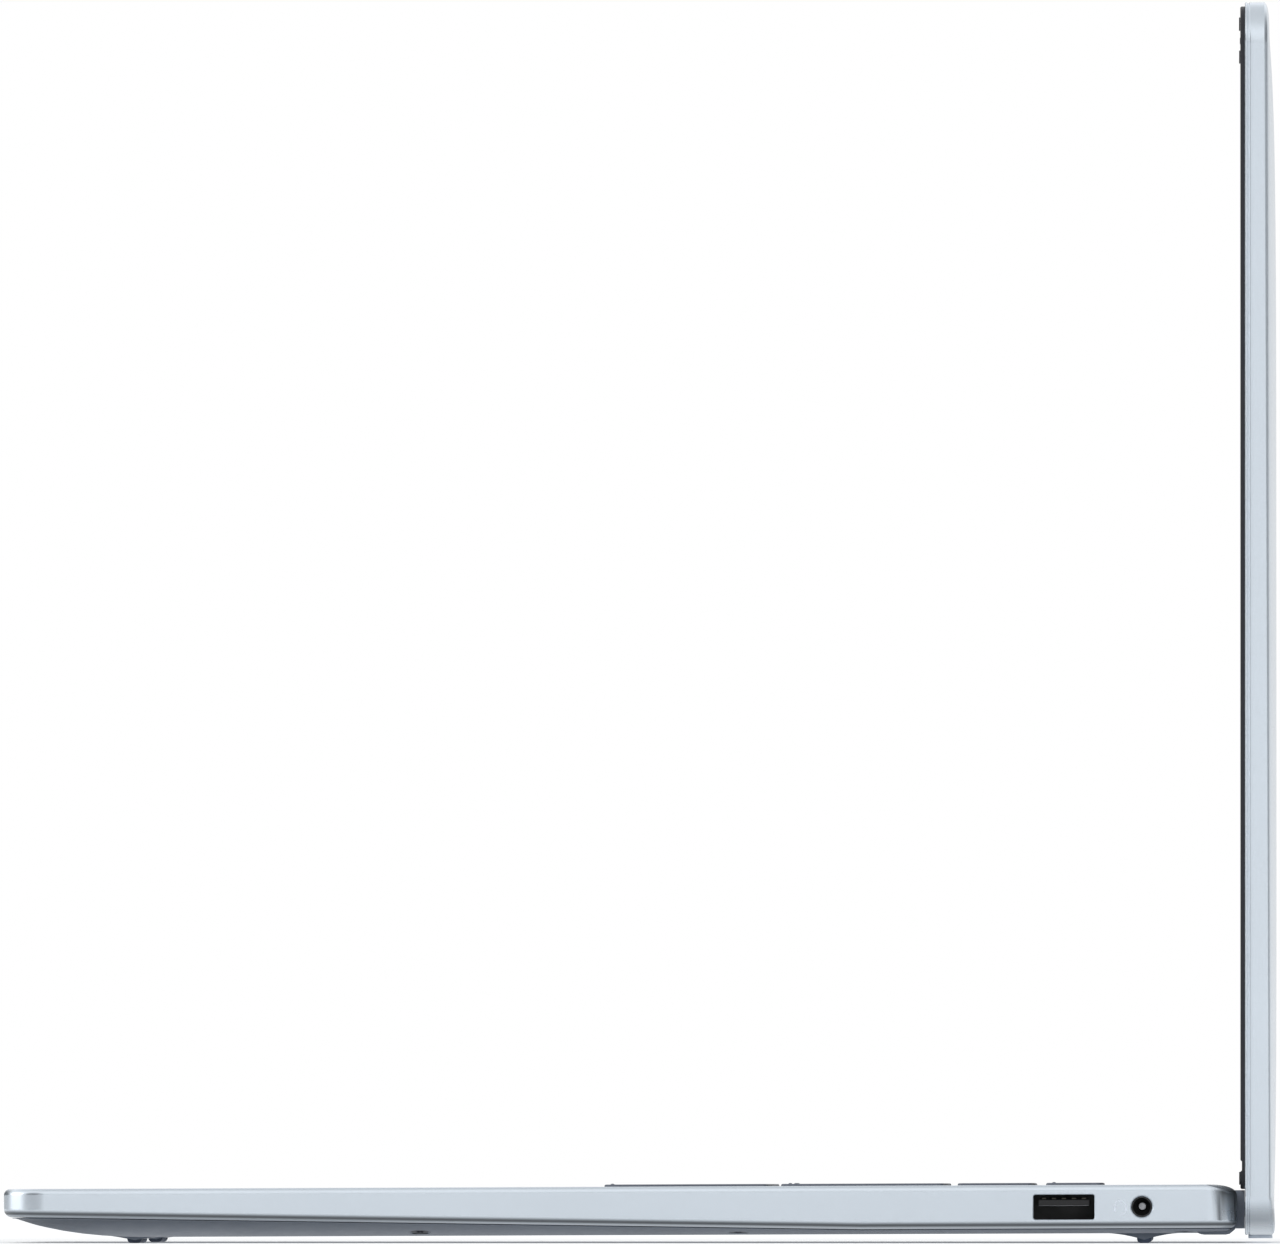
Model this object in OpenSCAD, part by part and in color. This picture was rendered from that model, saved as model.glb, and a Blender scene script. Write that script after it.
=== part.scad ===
/* [Base] */
// Width of the base and of the lid
base_w = 356.8; // [320:0.2:395]
// Depth of the base from front edge to rear edge
base_d = 251.8; // [226:0.2:280]
// Thickness of the base from the underside to the deck
base_t = 9.9; // [9.8:0.1:12]
// Slope of the base, front edge lower
base_tilt = 0.22; // [0:0.02:0.6]
// Height of the underside above the table at mid depth
floor_gap = 1.65; // [1.5:0.05:3]
// Thickness of the deck
deck_t = 1.2; // [1:0.1:1.3]
// Thickness of the side walls
wall_t = 2.6; // [2.4:0.1:3]
// Thickness of the bottom cover
cover_t = 1.1; // [0.9:0.1:1.2]
// Plan radius of the front corners
corner_front = 8.5; // [6:0.5:12]
// Plan radius of the rear corners
corner_rear = 6.2; // [5:0.2:8]
// Length over which the underside rises to the front edge
dish_run = 30; // [22:1:40]
// Height of the parting line at the front edge
parting_front = 4.1; // [3.6:0.1:4.4]
// Height of the parting line at the rear
parting_rear = 0.95; // [0.9:0.05:1.4]
// Gap seen at the parting line
seam_gap = 0.12; // [0.05:0.01:0.2]

/* [Keyboard] */
// Space between the keyboard and each side of the base
side_margin = 13.4; // [12:0.1:16]
// Spacing of the number pad keys across, as a share of that of the main keys
pad_share = 0.848; // [0.82:0.001:0.95]
// Space between key caps
key_gap = 3; // [2.6:0.1:3.6]
// Space between the main keys and the number pad
pad_gap = 4; // [3:0.5:5]
// Depth of the function keys
function_depth = 11.2; // [9:0.2:12]
// Height of the caps over the deck
key_proud = 0.45; // [0.3:0.05:0.5]
// Thickness of a cap
cap_t = 1.3; // [1.1:0.1:1.5]
// Travel of a key
key_travel = 1.3; // [1:0.1:1.4]
// Space round a cap in its deck hole
key_clear = 0.35; // [0.3:0.05:0.45]
// Distance from the keyboard to the rear edge of the base
rear_depth = 27.75; // [27:0.05:32]
// Width of the touchpad
touchpad_w = 130; // [110:1:145]
// Space in front of the touchpad
palm_front = 18.6; // [16:0.2:24]
// Space between the touchpad and the first key row
palm_back = 20; // [18:0.5:26]

/* [Ports] */
// Distance from the rear edge to the middle of the wide rectangular port
usb_a_in = 35.3; // [33:0.1:45]
// Distance from the rear edge to the headset jack
jack_in = 19.4; // [18.5:0.1:21]
// Height of the port centres over the underside
port_z = 5.4; // [5.2:0.1:5.5]
// Width of the wide rectangular port opening
usb_a_w = 12.5; // [12.2:0.1:13]
// Height of the wide rectangular port opening
usb_a_h = 5.12; // [5:0.02:5.4]
// Radius of the headset jack bore
jack_bore_r = 1.8; // [1.76:0.02:1.9]
// Depth of the headset jack bore
jack_depth = 10; // [9:0.5:10.5]

/* [Lid] */
// Thickness of the lid cover at its crown
lid_t = 6.5; // [6.2:0.1:8]
// Thickness of the rim at the top of the lid
rim_top = 3.95; // [3.8:0.05:4.4]
// Thickness of the rim at the foot of the lid
rim_foot = 4.9; // [4.7:0.05:5.2]
// Thickness of the lid back
lid_back_t = 1; // [0.8:0.1:1.1]
// Width of the lid rim wall
lid_wall = 2.2; // [2:0.1:2.3]
// Height of the bezel over the rim
bezel_proud = 0.95; // [0.9:0.05:1.1]
// Gap between deck and bezel with the lid shut
closed_gap = 0.32; // [0.3:0.02:0.5]
// Border beside the picture area
border_side = 6.05; // [5.8:0.05:16]
// Border above the picture area
border_top = 10; // [9.6:0.1:20]
// Border below the picture area, down to the foot of the lid
border_low = 26.4; // [24:0.1:40]
// Thickness of the display panel
panel_t = 2.6; // [2.2:0.1:2.8]

/* [Hinge] */
// Height of the hinge axis over the underside
hinge_h = 4.8; // [4.7:0.05:5]
// Distance from the hinge axis to the rear edge of the base
hinge_inset = 4.7; // [4.5:0.05:4.8]
// Radius of the hinge cover
hinge_cover_r = 3.9; // [3.6:0.05:4]
// Length of a hinge cover
hinge_cover_w = 51.3; // [44:0.5:60]
// Distance from the side of the base to the middle of a hinge cover
hinge_side = 44.4; // [43:0.2:52]
// Radius of the hinge shaft
shaft_r = 1.6; // [1.4:0.05:1.8]
// Angle that the lid opens past upright
open_extra = 45; // [30:1:50]

/* [Cooling] */
// Width and depth of a fan housing
fan_size = 58; // [50:1:60]
// Height of a fan housing
fan_t = 4.8; // [4.2:0.1:4.9]
// Number of blades on an impeller
fan_blades = 29; // [19:2:37]

/* [Hidden] */

// Small distances
eps = 0.01;
far = 400;
face_gap = 0.05;
part_gap = 0.3;
arc_steps = 9;

// Base outline and heights, in the frame of the sloping base
half_w = base_w / 2;
lid_plane = base_t - hinge_h + closed_gap + bezel_proud;
lid_back = lid_plane + lid_t;
front_y = -(base_d - hinge_inset + lid_back) / 2;
rear_y = front_y + base_d;
hinge_y = rear_y - hinge_inset;
deck_low = base_t - deck_t;
side_round = 0.8;
front_round = 1.3;
rear_round_depth = 3.5;
rear_round_drop = 2.1;
low_round = 1.7;
low_in_side = 1.2;
low_in_front = 1.85;
low_in_rear = 1.6;
side_run = 14;
dish_power = 2.4;
parting_end = 45;
hump_h = 0.36;
hump_front = 1.9;
hump_top = 2.4;
hump_run = 1.5;

// Hinge notches
hinge_x = half_w - hinge_side;
notch_r = hinge_cover_r + 0.38;
notch_w = hinge_cover_w + 0.7;
notch_wall = 1.6;
notch_x1 = hinge_x - notch_w / 2;
notch_x2 = hinge_x + notch_w / 2;
knuckle_r = 2.9;
shaft_clear = 0.03;
knuckle_w = 12;
knuckle_x = notch_x1 - notch_wall - part_gap - knuckle_w;

// Hinge axis as it stands in the world
axis_y = hinge_y * cos(base_tilt) - hinge_h * sin(base_tilt);
axis_z = floor_gap + hinge_y * sin(base_tilt) + hinge_h * cos(base_tilt);

// Keyboard rows from the front to the back
pitch_step = 0.05;
key_room = base_w - 2 * side_margin - pad_gap + 2 * key_gap;
key_pitch = pitch_step * round(key_room / (15 + 4 * pad_share) / pitch_step);
pad_pitch = pitch_step * round(pad_share * key_pitch / pitch_step);
key_depth = key_pitch - key_gap;
key_r = 1.2;
key_edge = 0.22;
main_w = 15 * key_pitch - key_gap;
keyboard_w = main_w + pad_gap + 4 * pad_pitch - key_gap;
key_x0 = -keyboard_w / 2;
pad_x0 = key_x0 + main_w + pad_gap;
keyboard_d = 5 * key_pitch + function_depth;
key_y0 = rear_y - rear_depth - keyboard_d;
palm_depth = key_y0 - front_y;
row_bottom_left = [1.25, 1, 1, 1];
row_bottom_right = [1, 1];
space_u = 15 - 1.25 - 8;
row_lower = [2.25, 1, 1, 1, 1, 1, 1, 1, 1, 1, 1, 2.75];
row_home = [1.75, 1, 1, 1, 1, 1, 1, 1, 1, 1, 1, 1, 2.25];
row_upper = [1.5, 1, 1, 1, 1, 1, 1, 1, 1, 1, 1, 1, 1, 1.5];
row_number = [1, 1, 1, 1, 1, 1, 1, 1, 1, 1, 1, 1, 1, 2];
row_function = [1, 1, 1, 1, 1, 1, 1, 1, 1, 1, 1, 1, 1, 1, 1];
arrow_gap = 1.6;
arrow_depth = (key_depth - arrow_gap) / 2;
arrow_u = 12;
key_top = base_t + key_proud;
cap_low = key_top - cap_t;
plate_t = 0.8;
plate_top = cap_low - key_travel - 0.35;
plate_low = plate_top - plate_t;
plate_margin = 1;
nub_w = 3;
nub_h = 0.2;
nub_r = 0.45;
nub_in = 1.6;

// Touchpad
touchpad_x = key_x0 + main_w / 2;
touchpad_d = palm_depth - palm_front - palm_back;
touchpad_y = front_y + palm_front + touchpad_d / 2;
touchpad_t = 1;
touchpad_drop = 0.1;
touchpad_clear = 0.3;
touchpad_r = 3;
touchpad_board_t = 0.7;
touchpad_low = base_t - touchpad_drop - touchpad_t - touchpad_board_t;
touchpad_travel = 0.35;
bracket_t = 0.5;
bracket_top = touchpad_low - touchpad_travel - 0.1;

// Ports, on the right side and on the left side
usb_a_y = rear_y - usb_a_in;
jack_y = rear_y - jack_in;
hdmi_y = rear_y - 37.2;
usb_c_y = [rear_y - 55.2, rear_y - 69.2];
shell_t = 0.3;
socket_in = key_x0 - plate_margin - part_gap;
socket_out = half_w - wall_t - part_gap;
jack_hole_r = 2.17;
jack_nose_r = 2.1;
jack_body_r = 2.9;
jack_body = 11.2;
hdmi_w = 14;
hdmi_h = 4.55;
usb_c_w = 8.94;
usb_c_h = 3.26;

// Boards and what sits on them
board_t = 1;
board_low = plate_low - part_gap - 0.1 - board_t;
inside_low = cover_t + part_gap;
io_board_t = port_z - usb_a_h / 2 - shell_t - face_gap - inside_low;
board_margin = 3;
board_y0 = key_y0 + board_margin;
board_to_fan = 5.2;
board_side_gap = 42;
arm_to_fan = 15.3;

// Fans and fins
fan_to_hinge = 5.1;
fan_to_rear = 50;
fan_x = knuckle_x - fan_to_hinge - fan_size / 2;
fan_y = rear_y - fan_to_rear;
fan_low = inside_low;
impeller_r = fan_size / 2 - 3;
fin_w = fan_size - 4;
fin_y = fan_y + fan_size / 2 + part_gap;
fin_d = 9.5;
fin_t = 0.25;
fin_pitch = 1.6;
fin_h = fan_t;

// Screws of the bottom cover
screw_r = 0.9;
screw_head_r = 2;
screw_head_t = 0.7;
screw_flush = 0.25;
screw_length = 4.5;
boss_r = 2.3;
screw_front = [half_w - 28, front_y + 10];
screw_palm = [half_w - 7.9, front_y + 0.3375 * base_d];
screw_side = [half_w - 7.9, front_y + 0.5955 * base_d];
screw_rear = [half_w - 8.4, rear_y - 10.8];
SCREWS = [
    [-screw_front.x, screw_front.y], [0, screw_front.y], screw_front,
    [-screw_palm.x, screw_palm.y], [0, key_y0 - 10.5], screw_palm,
    [-screw_side.x, screw_side.y], screw_side,
    [-screw_rear.x, screw_rear.y], [0, screw_rear.y], screw_rear
];

// Feet
foot_w = 2.9;
foot_r = 0.85;
front_foot_y = front_y + 26.1;
rear_foot_y = rear_y - 19;
front_foot_length = 62;
rear_foot_length = base_w - 66.8;
front_foot_x = half_w - 66.4;
front_fairing = [7.2, 0.42];
rear_fairing = [14.6, 0.95];

// Lid, in the frame of the lid: Y up from the hinge axis, Z toward the user
lid_h = base_d;
lid_low = -(hinge_h + 0.43);
lid_high = lid_low + lid_h;
lid_corner = 8.5;
lid_corner_foot = 8;
crown_rate = 0.28;
crown_power = 0.62;
foot_rim_extra = 0.6;
foot_rate_extra = 0.5;
lid_edge = 0.3;
crown_insets = [0, 0.4, 1.1, 2.4, 5, 10, 18, 30, 46, 66];
bezel_inset = 0.9;
bezel_low = 4.15;
bezel_plane = lid_plane - bezel_proud;
bezel_t = 0.55;
screen_w = base_w - 2 * border_side;
screen_top = lid_high - border_top;
screen_low = lid_low + border_low;
screen_h = screen_top - screen_low;
panel_side = 3;
panel_up = 2.4;
panel_down = 6;
panel_front = bezel_plane + bezel_t + face_gap;
panel_back = panel_front + panel_t;
panel_w = screen_w + 2 * panel_side;
panel_y0 = screen_low - panel_down;
panel_h = screen_h + panel_up + panel_down;
cavity_low = 4;
skirt_depth = 0.8;
strip_h = 0.6;
strip_in = 1.4;
camera_y = lid_high - 4.8;
camera_w = 60;
camera_h = 4;
camera_d = 2.4;
lens_r = 1.5;
shutter_w = 13;
shutter_h = 3.6;
shutter_t = 0.35;
shutter_travel = 5;
knob_w = 2.6;
knob_h = 1.2;
leaf_t = 1.1;
leaf_w = 30;
leaf_h = 36;
leaf_front = panel_back + 0.35;
arm_half = 1.5;
hub_r = 2.9;

// Placing
module on_base() {
    translate([0, 0, floor_gap]) rotate([base_tilt, 0, 0]) children();
}
module on_lid() {
    translate([0, axis_y, axis_z]) rotate([90, 0, 0]) children();
}
module along_x(x0) {
    translate([x0, 0, 0]) rotate([90, 0, 90]) children();
}

// Flat outlines
module round_rect(w, d, r) {
    square([w - 2 * r, d], center = true);
    square([w, d - 2 * r], center = true);
    for (x = [-1, 1], y = [-1, 1]) {
        translate([x * (w / 2 - r), y * (d / 2 - r)]) circle(r = r, $fn = 32);
    }
}
module corner_rect(w, y0, y1, r0, r1) {
    translate([-w / 2, y0 + r0]) square([w, y1 - y0 - r0 - r1]);
    translate([-(w / 2 - r0), y0]) square([w - 2 * r0, r0 + eps]);
    translate([-(w / 2 - r1), y1 - r1 - eps]) square([w - 2 * r1, r1 + eps]);
    for (x = [-1, 1]) {
        translate([x * (w / 2 - r0), y0 + r0]) circle(r = r0, $fn = 48);
        translate([x * (w / 2 - r1), y1 - r1]) circle(r = r1, $fn = 48);
    }
}

// Shapes of the base, as heights and insets of its outline
function between(a, b, t) = a + (b - a) * t;
function clamped(t) = min(1, max(0, t));
function parting(y) =
    between(parting_rear, parting_front, clamped((parting_end - y) / (parting_end - front_y)));
function frontness(y) = clamped((front_y + corner_front - y) / corner_front);
function rearness(y) = clamped((y - rear_y + corner_rear) / corner_rear);
function top_drop(y) =
    between(between(side_round, front_round, frontness(y)), rear_round_drop, rearness(y));
function dish(y) =
    parting_low * pow(clamped((front_y + dish_run - y) / (dish_run - low_in_front)), dish_power);
parting_low = parting_front - 0.2;
function corner_cut(d, r) = d >= r ? 0 : r - sqrt(max(0, r * r - (r - d) * (r - d)));
function half_at(y) =
    half_w - corner_cut(max(0, y - front_y), corner_front) - corner_cut(max(0, rear_y - y), corner_rear);

// One closed loop of the plan outline, inset at the side, front and rear
function corner_loop(cx, cy, rx, ry, a0) = [
    for (i = [0 : arc_steps]) let(a = a0 + 90 * i / arc_steps) [cx + rx * cos(a), cy + ry * sin(a)]
];
function front_corner(s, inset, front, a0) =
    corner_loop(s * (half_w - corner_front), front_y + corner_front,
        corner_front - inset, corner_front - front, a0);
function rear_corner(s, inset, rear, a0) =
    corner_loop(s * (half_w - corner_rear), rear_y - corner_rear,
        corner_rear - inset, corner_rear - rear, a0);
function base_loop(side, front, rear) = concat(
    rear_corner(1, side, rear, 0),
    rear_corner(-1, side, rear, 90),
    front_corner(-1, side, front, 180),
    front_corner(1, side, front, 270)
);
function top_ring(a) = let(k = 1 - sin(a)) [
    for (p = base_loop(side_round * k, front_round * k, rear_round_depth * k))
        [p.x, p.y, base_t - top_drop(p.y) * (1 - cos(a))]
];
function low_ring(a) = let(k = 1 - cos(a)) [
    for (p = base_loop(low_in_side * k, low_in_front * k, low_in_rear * k))
        [p.x, p.y, parting(p.y) + low_round * (1 - sin(a))]
];
function underside_at(y, t) = [
    for (s = [-1, 1]) [
        s * (half_at(y) - low_in_side - side_run * t),
        y,
        dish(y) + (parting(y) - dish(y)) * pow(1 - t, 2)
    ]
];
underside_y = concat(
    [for (i = [0 : 8]) front_y + low_in_front + (dish_run - low_in_front) * i / 8],
    [parting_end, rear_y - corner_rear, rear_y - low_in_rear - parting_rear]
);
function cover_low(x, y) =
    dish(y) + (parting(y) - dish(y)) * pow(1 - clamped((half_at(y) - low_in_side - abs(x)) / side_run), 2);

// A convex solid round a list of points
module wrap(points) {
    n = len(points);
    hull() polyhedron(points = points, faces = [for (i = [0 : n - 1]) [i, (i + 1) % n, (i + 2) % n]]);
}
module base_outer() {
    wrap(concat(
        [for (a = [0 : 22.5 : 90]) each top_ring(a)],
        [for (a = [0 : 22.5 : 90]) each low_ring(a)],
        [for (y = underside_y, t = [0.25, 0.5, 0.75, 1]) each underside_at(y, t)]
    ));
}

// The region on one side of the parting surface, which is moved by lift
module parting_side(lift, limit) {
    past = 9;
    along_x(-far) linear_extrude(2 * far) polygon([
        [front_y - past, parting_front + lift],
        [front_y, parting_front + lift],
        [parting_end, parting_rear + lift],
        [rear_y + past, parting_rear + lift],
        [rear_y + past, limit],
        [front_y - past, limit]
    ]);
}
module cavity_outline(gap) {
    difference() {
        corner_rect(base_w - 2 * (wall_t + gap), front_y + wall_t + gap, rear_y - wall_t - gap,
            corner_front - wall_t, corner_rear - wall_t);
        for (s = [-1, 1]) {
            translate([s * hinge_x - notch_w / 2 - notch_wall - gap, hinge_y - notch_r - notch_wall - gap])
                square([notch_w + 2 * (notch_wall + gap), far]);
        }
    }
}
module notches() {
    reach = 20;
    low = [-notch_r * sin(open_extra), -notch_r * cos(open_extra)];
    end = low + reach * [cos(open_extra), -sin(open_extra)];
    for (s = [-1, 1]) {
        along_x(s * hinge_x - notch_w / 2) linear_extrude(notch_w) translate([hinge_y, hinge_h]) {
            circle(r = notch_r, $fn = 64);
            polygon([[0, 0], [-notch_r, 0], [-notch_r, reach], [end.x, reach], end, low]);
        }
    }
}

// Key outlines: grow widens each one by that much all round
function reach_to(v, i) = i == 0 ? 0 : v[i - 1] + reach_to(v, i - 1);
module key_2d(x, y, w, d, grow) {
    translate([x + w / 2, y + d / 2]) round_rect(w + 2 * grow, d + 2 * grow, key_r + grow);
}
module row_2d(units, start, row, depth, grow) {
    for (i = [0 : len(units) - 1]) {
        key_2d(key_x0 + (start + reach_to(units, i)) * key_pitch, key_y0 + row * key_pitch,
            units[i] * key_pitch - key_gap, depth, grow);
    }
}
module pad_key_2d(column, row, columns, rows, grow) {
    key_2d(pad_x0 + column * pad_pitch, key_y0 + row * key_pitch,
        columns * pad_pitch - key_gap, rows * key_pitch - key_gap, grow);
}
module function_2d(grow) {
    row_2d(row_function, 0, 5, function_depth, grow);
    for (c = [0 : 2]) function_pad_2d(c, grow);
}
module function_pad_2d(column, grow) {
    key_2d(pad_x0 + column * pad_pitch, key_y0 + 5 * key_pitch, pad_pitch - key_gap, function_depth, grow);
}
module number_2d(grow) row_2d(row_number, 0, 4, key_depth, grow);
module upper_2d(grow) row_2d(row_upper, 0, 3, key_depth, grow);
module home_2d(grow) row_2d(row_home, 0, 2, key_depth, grow);
module lower_2d(grow) row_2d(row_lower, 0, 1, key_depth, grow);
module bottom_2d(grow) {
    row_2d(row_bottom_left, 0, 0, key_depth, grow);
    row_2d(row_bottom_right, 4.25 + space_u, 0, key_depth, grow);
}
module space_2d(grow) row_2d([space_u], 4.25, 0, key_depth, grow);
module arrow_2d(column, step, grow) {
    key_2d(key_x0 + (arrow_u + column) * key_pitch, key_y0 + step * (arrow_depth + arrow_gap),
        key_pitch - key_gap, arrow_depth, grow);
}
module arrows_2d(grow) {
    for (c = [0 : 2]) arrow_2d(c, 0, grow);
    arrow_2d(1, 1, grow);
}
module numpad_2d(grow) {
    for (c = [0 : 3]) pad_key_2d(c, 4, 1, 1, grow);
    for (c = [0 : 2], r = [1 : 3]) pad_key_2d(c, r, 1, 1, grow);
    pad_key_2d(0, 0, 2, 1, grow);
    pad_key_2d(2, 0, 1, 1, grow);
}
module pad_plus_2d(grow) pad_key_2d(3, 2, 1, 2, grow);
module pad_enter_2d(grow) pad_key_2d(3, 0, 1, 2, grow);
module power_2d(grow) function_pad_2d(3, grow);
module all_keys_2d(grow) {
    function_2d(grow);
    number_2d(grow);
    upper_2d(grow);
    home_2d(grow);
    lower_2d(grow);
    bottom_2d(grow);
    space_2d(grow);
    arrows_2d(grow);
    numpad_2d(grow);
    pad_plus_2d(grow);
    pad_enter_2d(grow);
    power_2d(grow);
}

// Ports as solids that cut the side walls, centred on their own axis along X
module rect_port(w, h, r, x0, x1) {
    along_x(x0) linear_extrude(x1 - x0) round_rect(w, h, r);
}
module port_holes() {
    cut = wall_t + 1;
    translate([0, usb_a_y, port_z]) rect_port(usb_a_w, usb_a_h, 0.45, half_w - cut, half_w + 1);
    translate([0, jack_y, port_z]) along_x(half_w - cut) cylinder(r = jack_hole_r, h = cut + 1, $fn = 48);
    translate([0, hdmi_y, port_z]) rect_port(hdmi_w, hdmi_h, 0.6, -half_w - 1, -half_w + cut);
    for (y = usb_c_y) {
        translate([0, y, port_z])
            rect_port(usb_c_w, usb_c_h, usb_c_h / 2 - eps, -half_w - 1, -half_w + cut);
    }
}

module rear_vents() {
    slot_w = 3.4;
    slot_pitch = 4.8;
    count = floor(fin_w / slot_pitch);
    for (s = [-1, 1], i = [0 : count - 1]) {
        x = s * fan_x + (i - (count - 1) / 2) * slot_pitch;
        translate([x, rear_y, hinge_h]) rotate([90, 0, 0]) linear_extrude(2 * wall_t + 4, center = true)
            round_rect(slot_w, 3, 1);
    }
}
module bottom_vents() {
    slot_l = 5.4;
    slot_h = 1.5;
    for (s = [-1, 1], i = [0 : 6], j = [0 : 9]) {
        translate([s * fan_x + (i - 3) * 7.4, fan_y + (j - 4.5) * 3.9, -1])
            linear_extrude(cover_t + 2) round_rect(slot_l, slot_h, slot_h / 2 - eps);
    }
}

module case_bosses() {
    for (p = SCREWS) {
        low = cover_low(p.x, p.y) + cover_t + 2 * part_gap;
        translate([p.x, p.y, low]) difference() {
            cylinder(r = boss_r, h = deck_low - low + eps, $fn = 32);
            translate([0, 0, -eps]) cylinder(r = screw_r + face_gap, h = screw_length, $fn = 24);
        }
    }
}

module top_case() {
    color([0.79, 0.82, 0.87]) on_base() {
        difference() {
            intersection() {
                base_outer();
                parting_side(seam_gap / 2, far);
            }
            translate([0, 0, -1]) linear_extrude(deck_low + 1) cavity_outline(0);
            translate([0, 0, deck_low - 1]) linear_extrude(deck_t + 2) all_keys_2d(key_clear);
            translate([touchpad_x, touchpad_y, deck_low - 1]) linear_extrude(deck_t + 2)
                round_rect(touchpad_w + 2 * touchpad_clear, touchpad_d + 2 * touchpad_clear, touchpad_r);
            notches();
            port_holes();
            rear_vents();
            for (s = [-1, 1]) hinge_clearance(s);
        }
        case_bosses();
    }
}
// Room for the knuckle beside a notch and the hole for its shaft
module hinge_clearance(s) {
    x0 = s > 0 ? knuckle_x - part_gap : -notch_x1 - eps;
    x1 = s > 0 ? notch_x1 + eps : -knuckle_x + part_gap;
    kx = s > 0 ? knuckle_x - part_gap : -knuckle_x - knuckle_w - part_gap;
    translate([0, hinge_y, hinge_h]) {
        along_x(x0) cylinder(r = shaft_r + 0.35, h = x1 - x0, $fn = 40);
        along_x(kx) cylinder(r = knuckle_r + 0.25, h = knuckle_w + 2 * part_gap, $fn = 48);
    }
}

// A flared ridge that carries a foot: concave flanks under the cover
function flare(w, h, n) = [
    for (i = [-n : n]) [w / 2 * i / n, -h * pow(1 - abs(i) / n, 1.8)]
];
module ridge(w, h, length, top) {
    translate([-length / 2, 0, 0]) rotate([90, 0, 90]) linear_extrude(length)
        polygon(concat([[-w / 2, top]], flare(w, h, 7), [[w / 2, top]]));
}
module bottom_cover() {
    color([0.36, 0.4, 0.46]) on_base() difference() {
        union() {
            difference() {
                intersection() {
                    base_outer();
                    parting_side(-seam_gap / 2, -far);
                }
                intersection() {
                    translate([0, 0, cover_t]) base_outer();
                    linear_extrude(base_t) cavity_outline(part_gap);
                }
            }
            rear_hump();
            for (s = [-1, 1]) {
                translate([s * front_foot_x, front_foot_y, dish(front_foot_y)])
                    ridge(front_fairing[0], front_fairing[1], front_foot_length + 7, 0.3);
            }
            translate([0, rear_foot_y, 0])
                ridge(rear_fairing[0], rear_fairing[1], rear_foot_length + 12, 0.3);
        }
        notches();
        bottom_vents();
        screw_holes();
        feet_room();
    }
}
// The raised strip along the rear of the underside
module rear_hump() {
    half = half_w - corner_rear - 2;
    y0 = hinge_y - hump_front;
    along_x(-half) linear_extrude(2 * half) polygon([
        [y0 - hump_run, 0.05],
        [y0, -hump_h],
        [hinge_y + hump_top, -hump_h],
        [rear_y - 0.3, parting_rear - seam_gap],
        [y0 - hump_run, parting_rear - seam_gap]
    ]);
}
module screw_holes() {
    for (p = SCREWS) {
        translate([p.x, p.y, cover_low(p.x, p.y) - 2]) {
            cylinder(r = screw_head_r + 0.1, h = 2 + screw_head_t - screw_flush, $fn = 32);
            cylinder(r = screw_r + 0.1, h = 6, $fn = 24);
        }
    }
}
module bottom_screws() {
    color([0.2, 0.22, 0.25]) on_base() for (p = SCREWS) {
        head = cover_low(p.x, p.y) + screw_head_t - screw_flush - 0.02;
        translate([p.x, p.y, head - screw_head_t]) difference() {
            union() {
                cylinder(r = screw_head_r, h = screw_head_t, $fn = 32);
                cylinder(r = screw_r, h = screw_head_t + screw_length - 0.6, $fn = 24);
            }
            translate([0, 0, -eps]) cylinder(r = 0.8, h = 0.4, $fn = 6);
        }
    }
}

// A foot bar with a rounded tread, its tread on the table
module foot_profile(height) {
    flat = foot_w / 2 - foot_r;
    translate([-foot_w / 2, foot_r]) square([foot_w, height - foot_r]);
    translate([-flat, 0]) square([2 * flat, foot_r + eps]);
    intersection() {
        for (y = [-flat, flat]) translate([y, foot_r]) circle(r = foot_r, $fn = 32);
        translate([-foot_w / 2, 0]) square([foot_w, foot_r + eps]);
    }
}
module foot_bar(x, y, length, height) {
    translate([x - length / 2, y, 0]) rotate([90, 0, 90]) linear_extrude(length) foot_profile(height);
}
front_foot_top = floor_gap + front_foot_y * sin(base_tilt) + dish(front_foot_y) + 0.2;
rear_foot_top = floor_gap + rear_foot_y * sin(base_tilt) - rear_fairing[1] + 1.0;
module feet_room() {
    rotate([-base_tilt, 0, 0]) translate([0, 0, -floor_gap]) {
        for (s = [-1, 1]) {
            foot_room(s * front_foot_x, front_foot_y, front_foot_length, front_foot_top);
        }
        foot_room(0, rear_foot_y, rear_foot_length, rear_foot_top);
    }
}
module foot_room(x, y, length, top) {
    w = foot_w + 2 * face_gap;
    translate([x - length / 2 - face_gap, y - w / 2, -1])
        cube([length + 2 * face_gap, w, top + 1 + face_gap]);
}
module front_feet() {
    color([0.13, 0.15, 0.2]) for (s = [-1, 1]) {
        foot_bar(s * front_foot_x, front_foot_y, front_foot_length, front_foot_top);
    }
}
module rear_foot() {
    color([0.13, 0.15, 0.2]) foot_bar(0, rear_foot_y, rear_foot_length, rear_foot_top);
}

// Keyboard
module caps() {
    on_base() {
        translate([0, 0, cap_low]) linear_extrude(cap_t - key_edge) children(0);
        translate([0, 0, key_top - key_edge]) linear_extrude(key_edge) children(1);
    }
}
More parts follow.
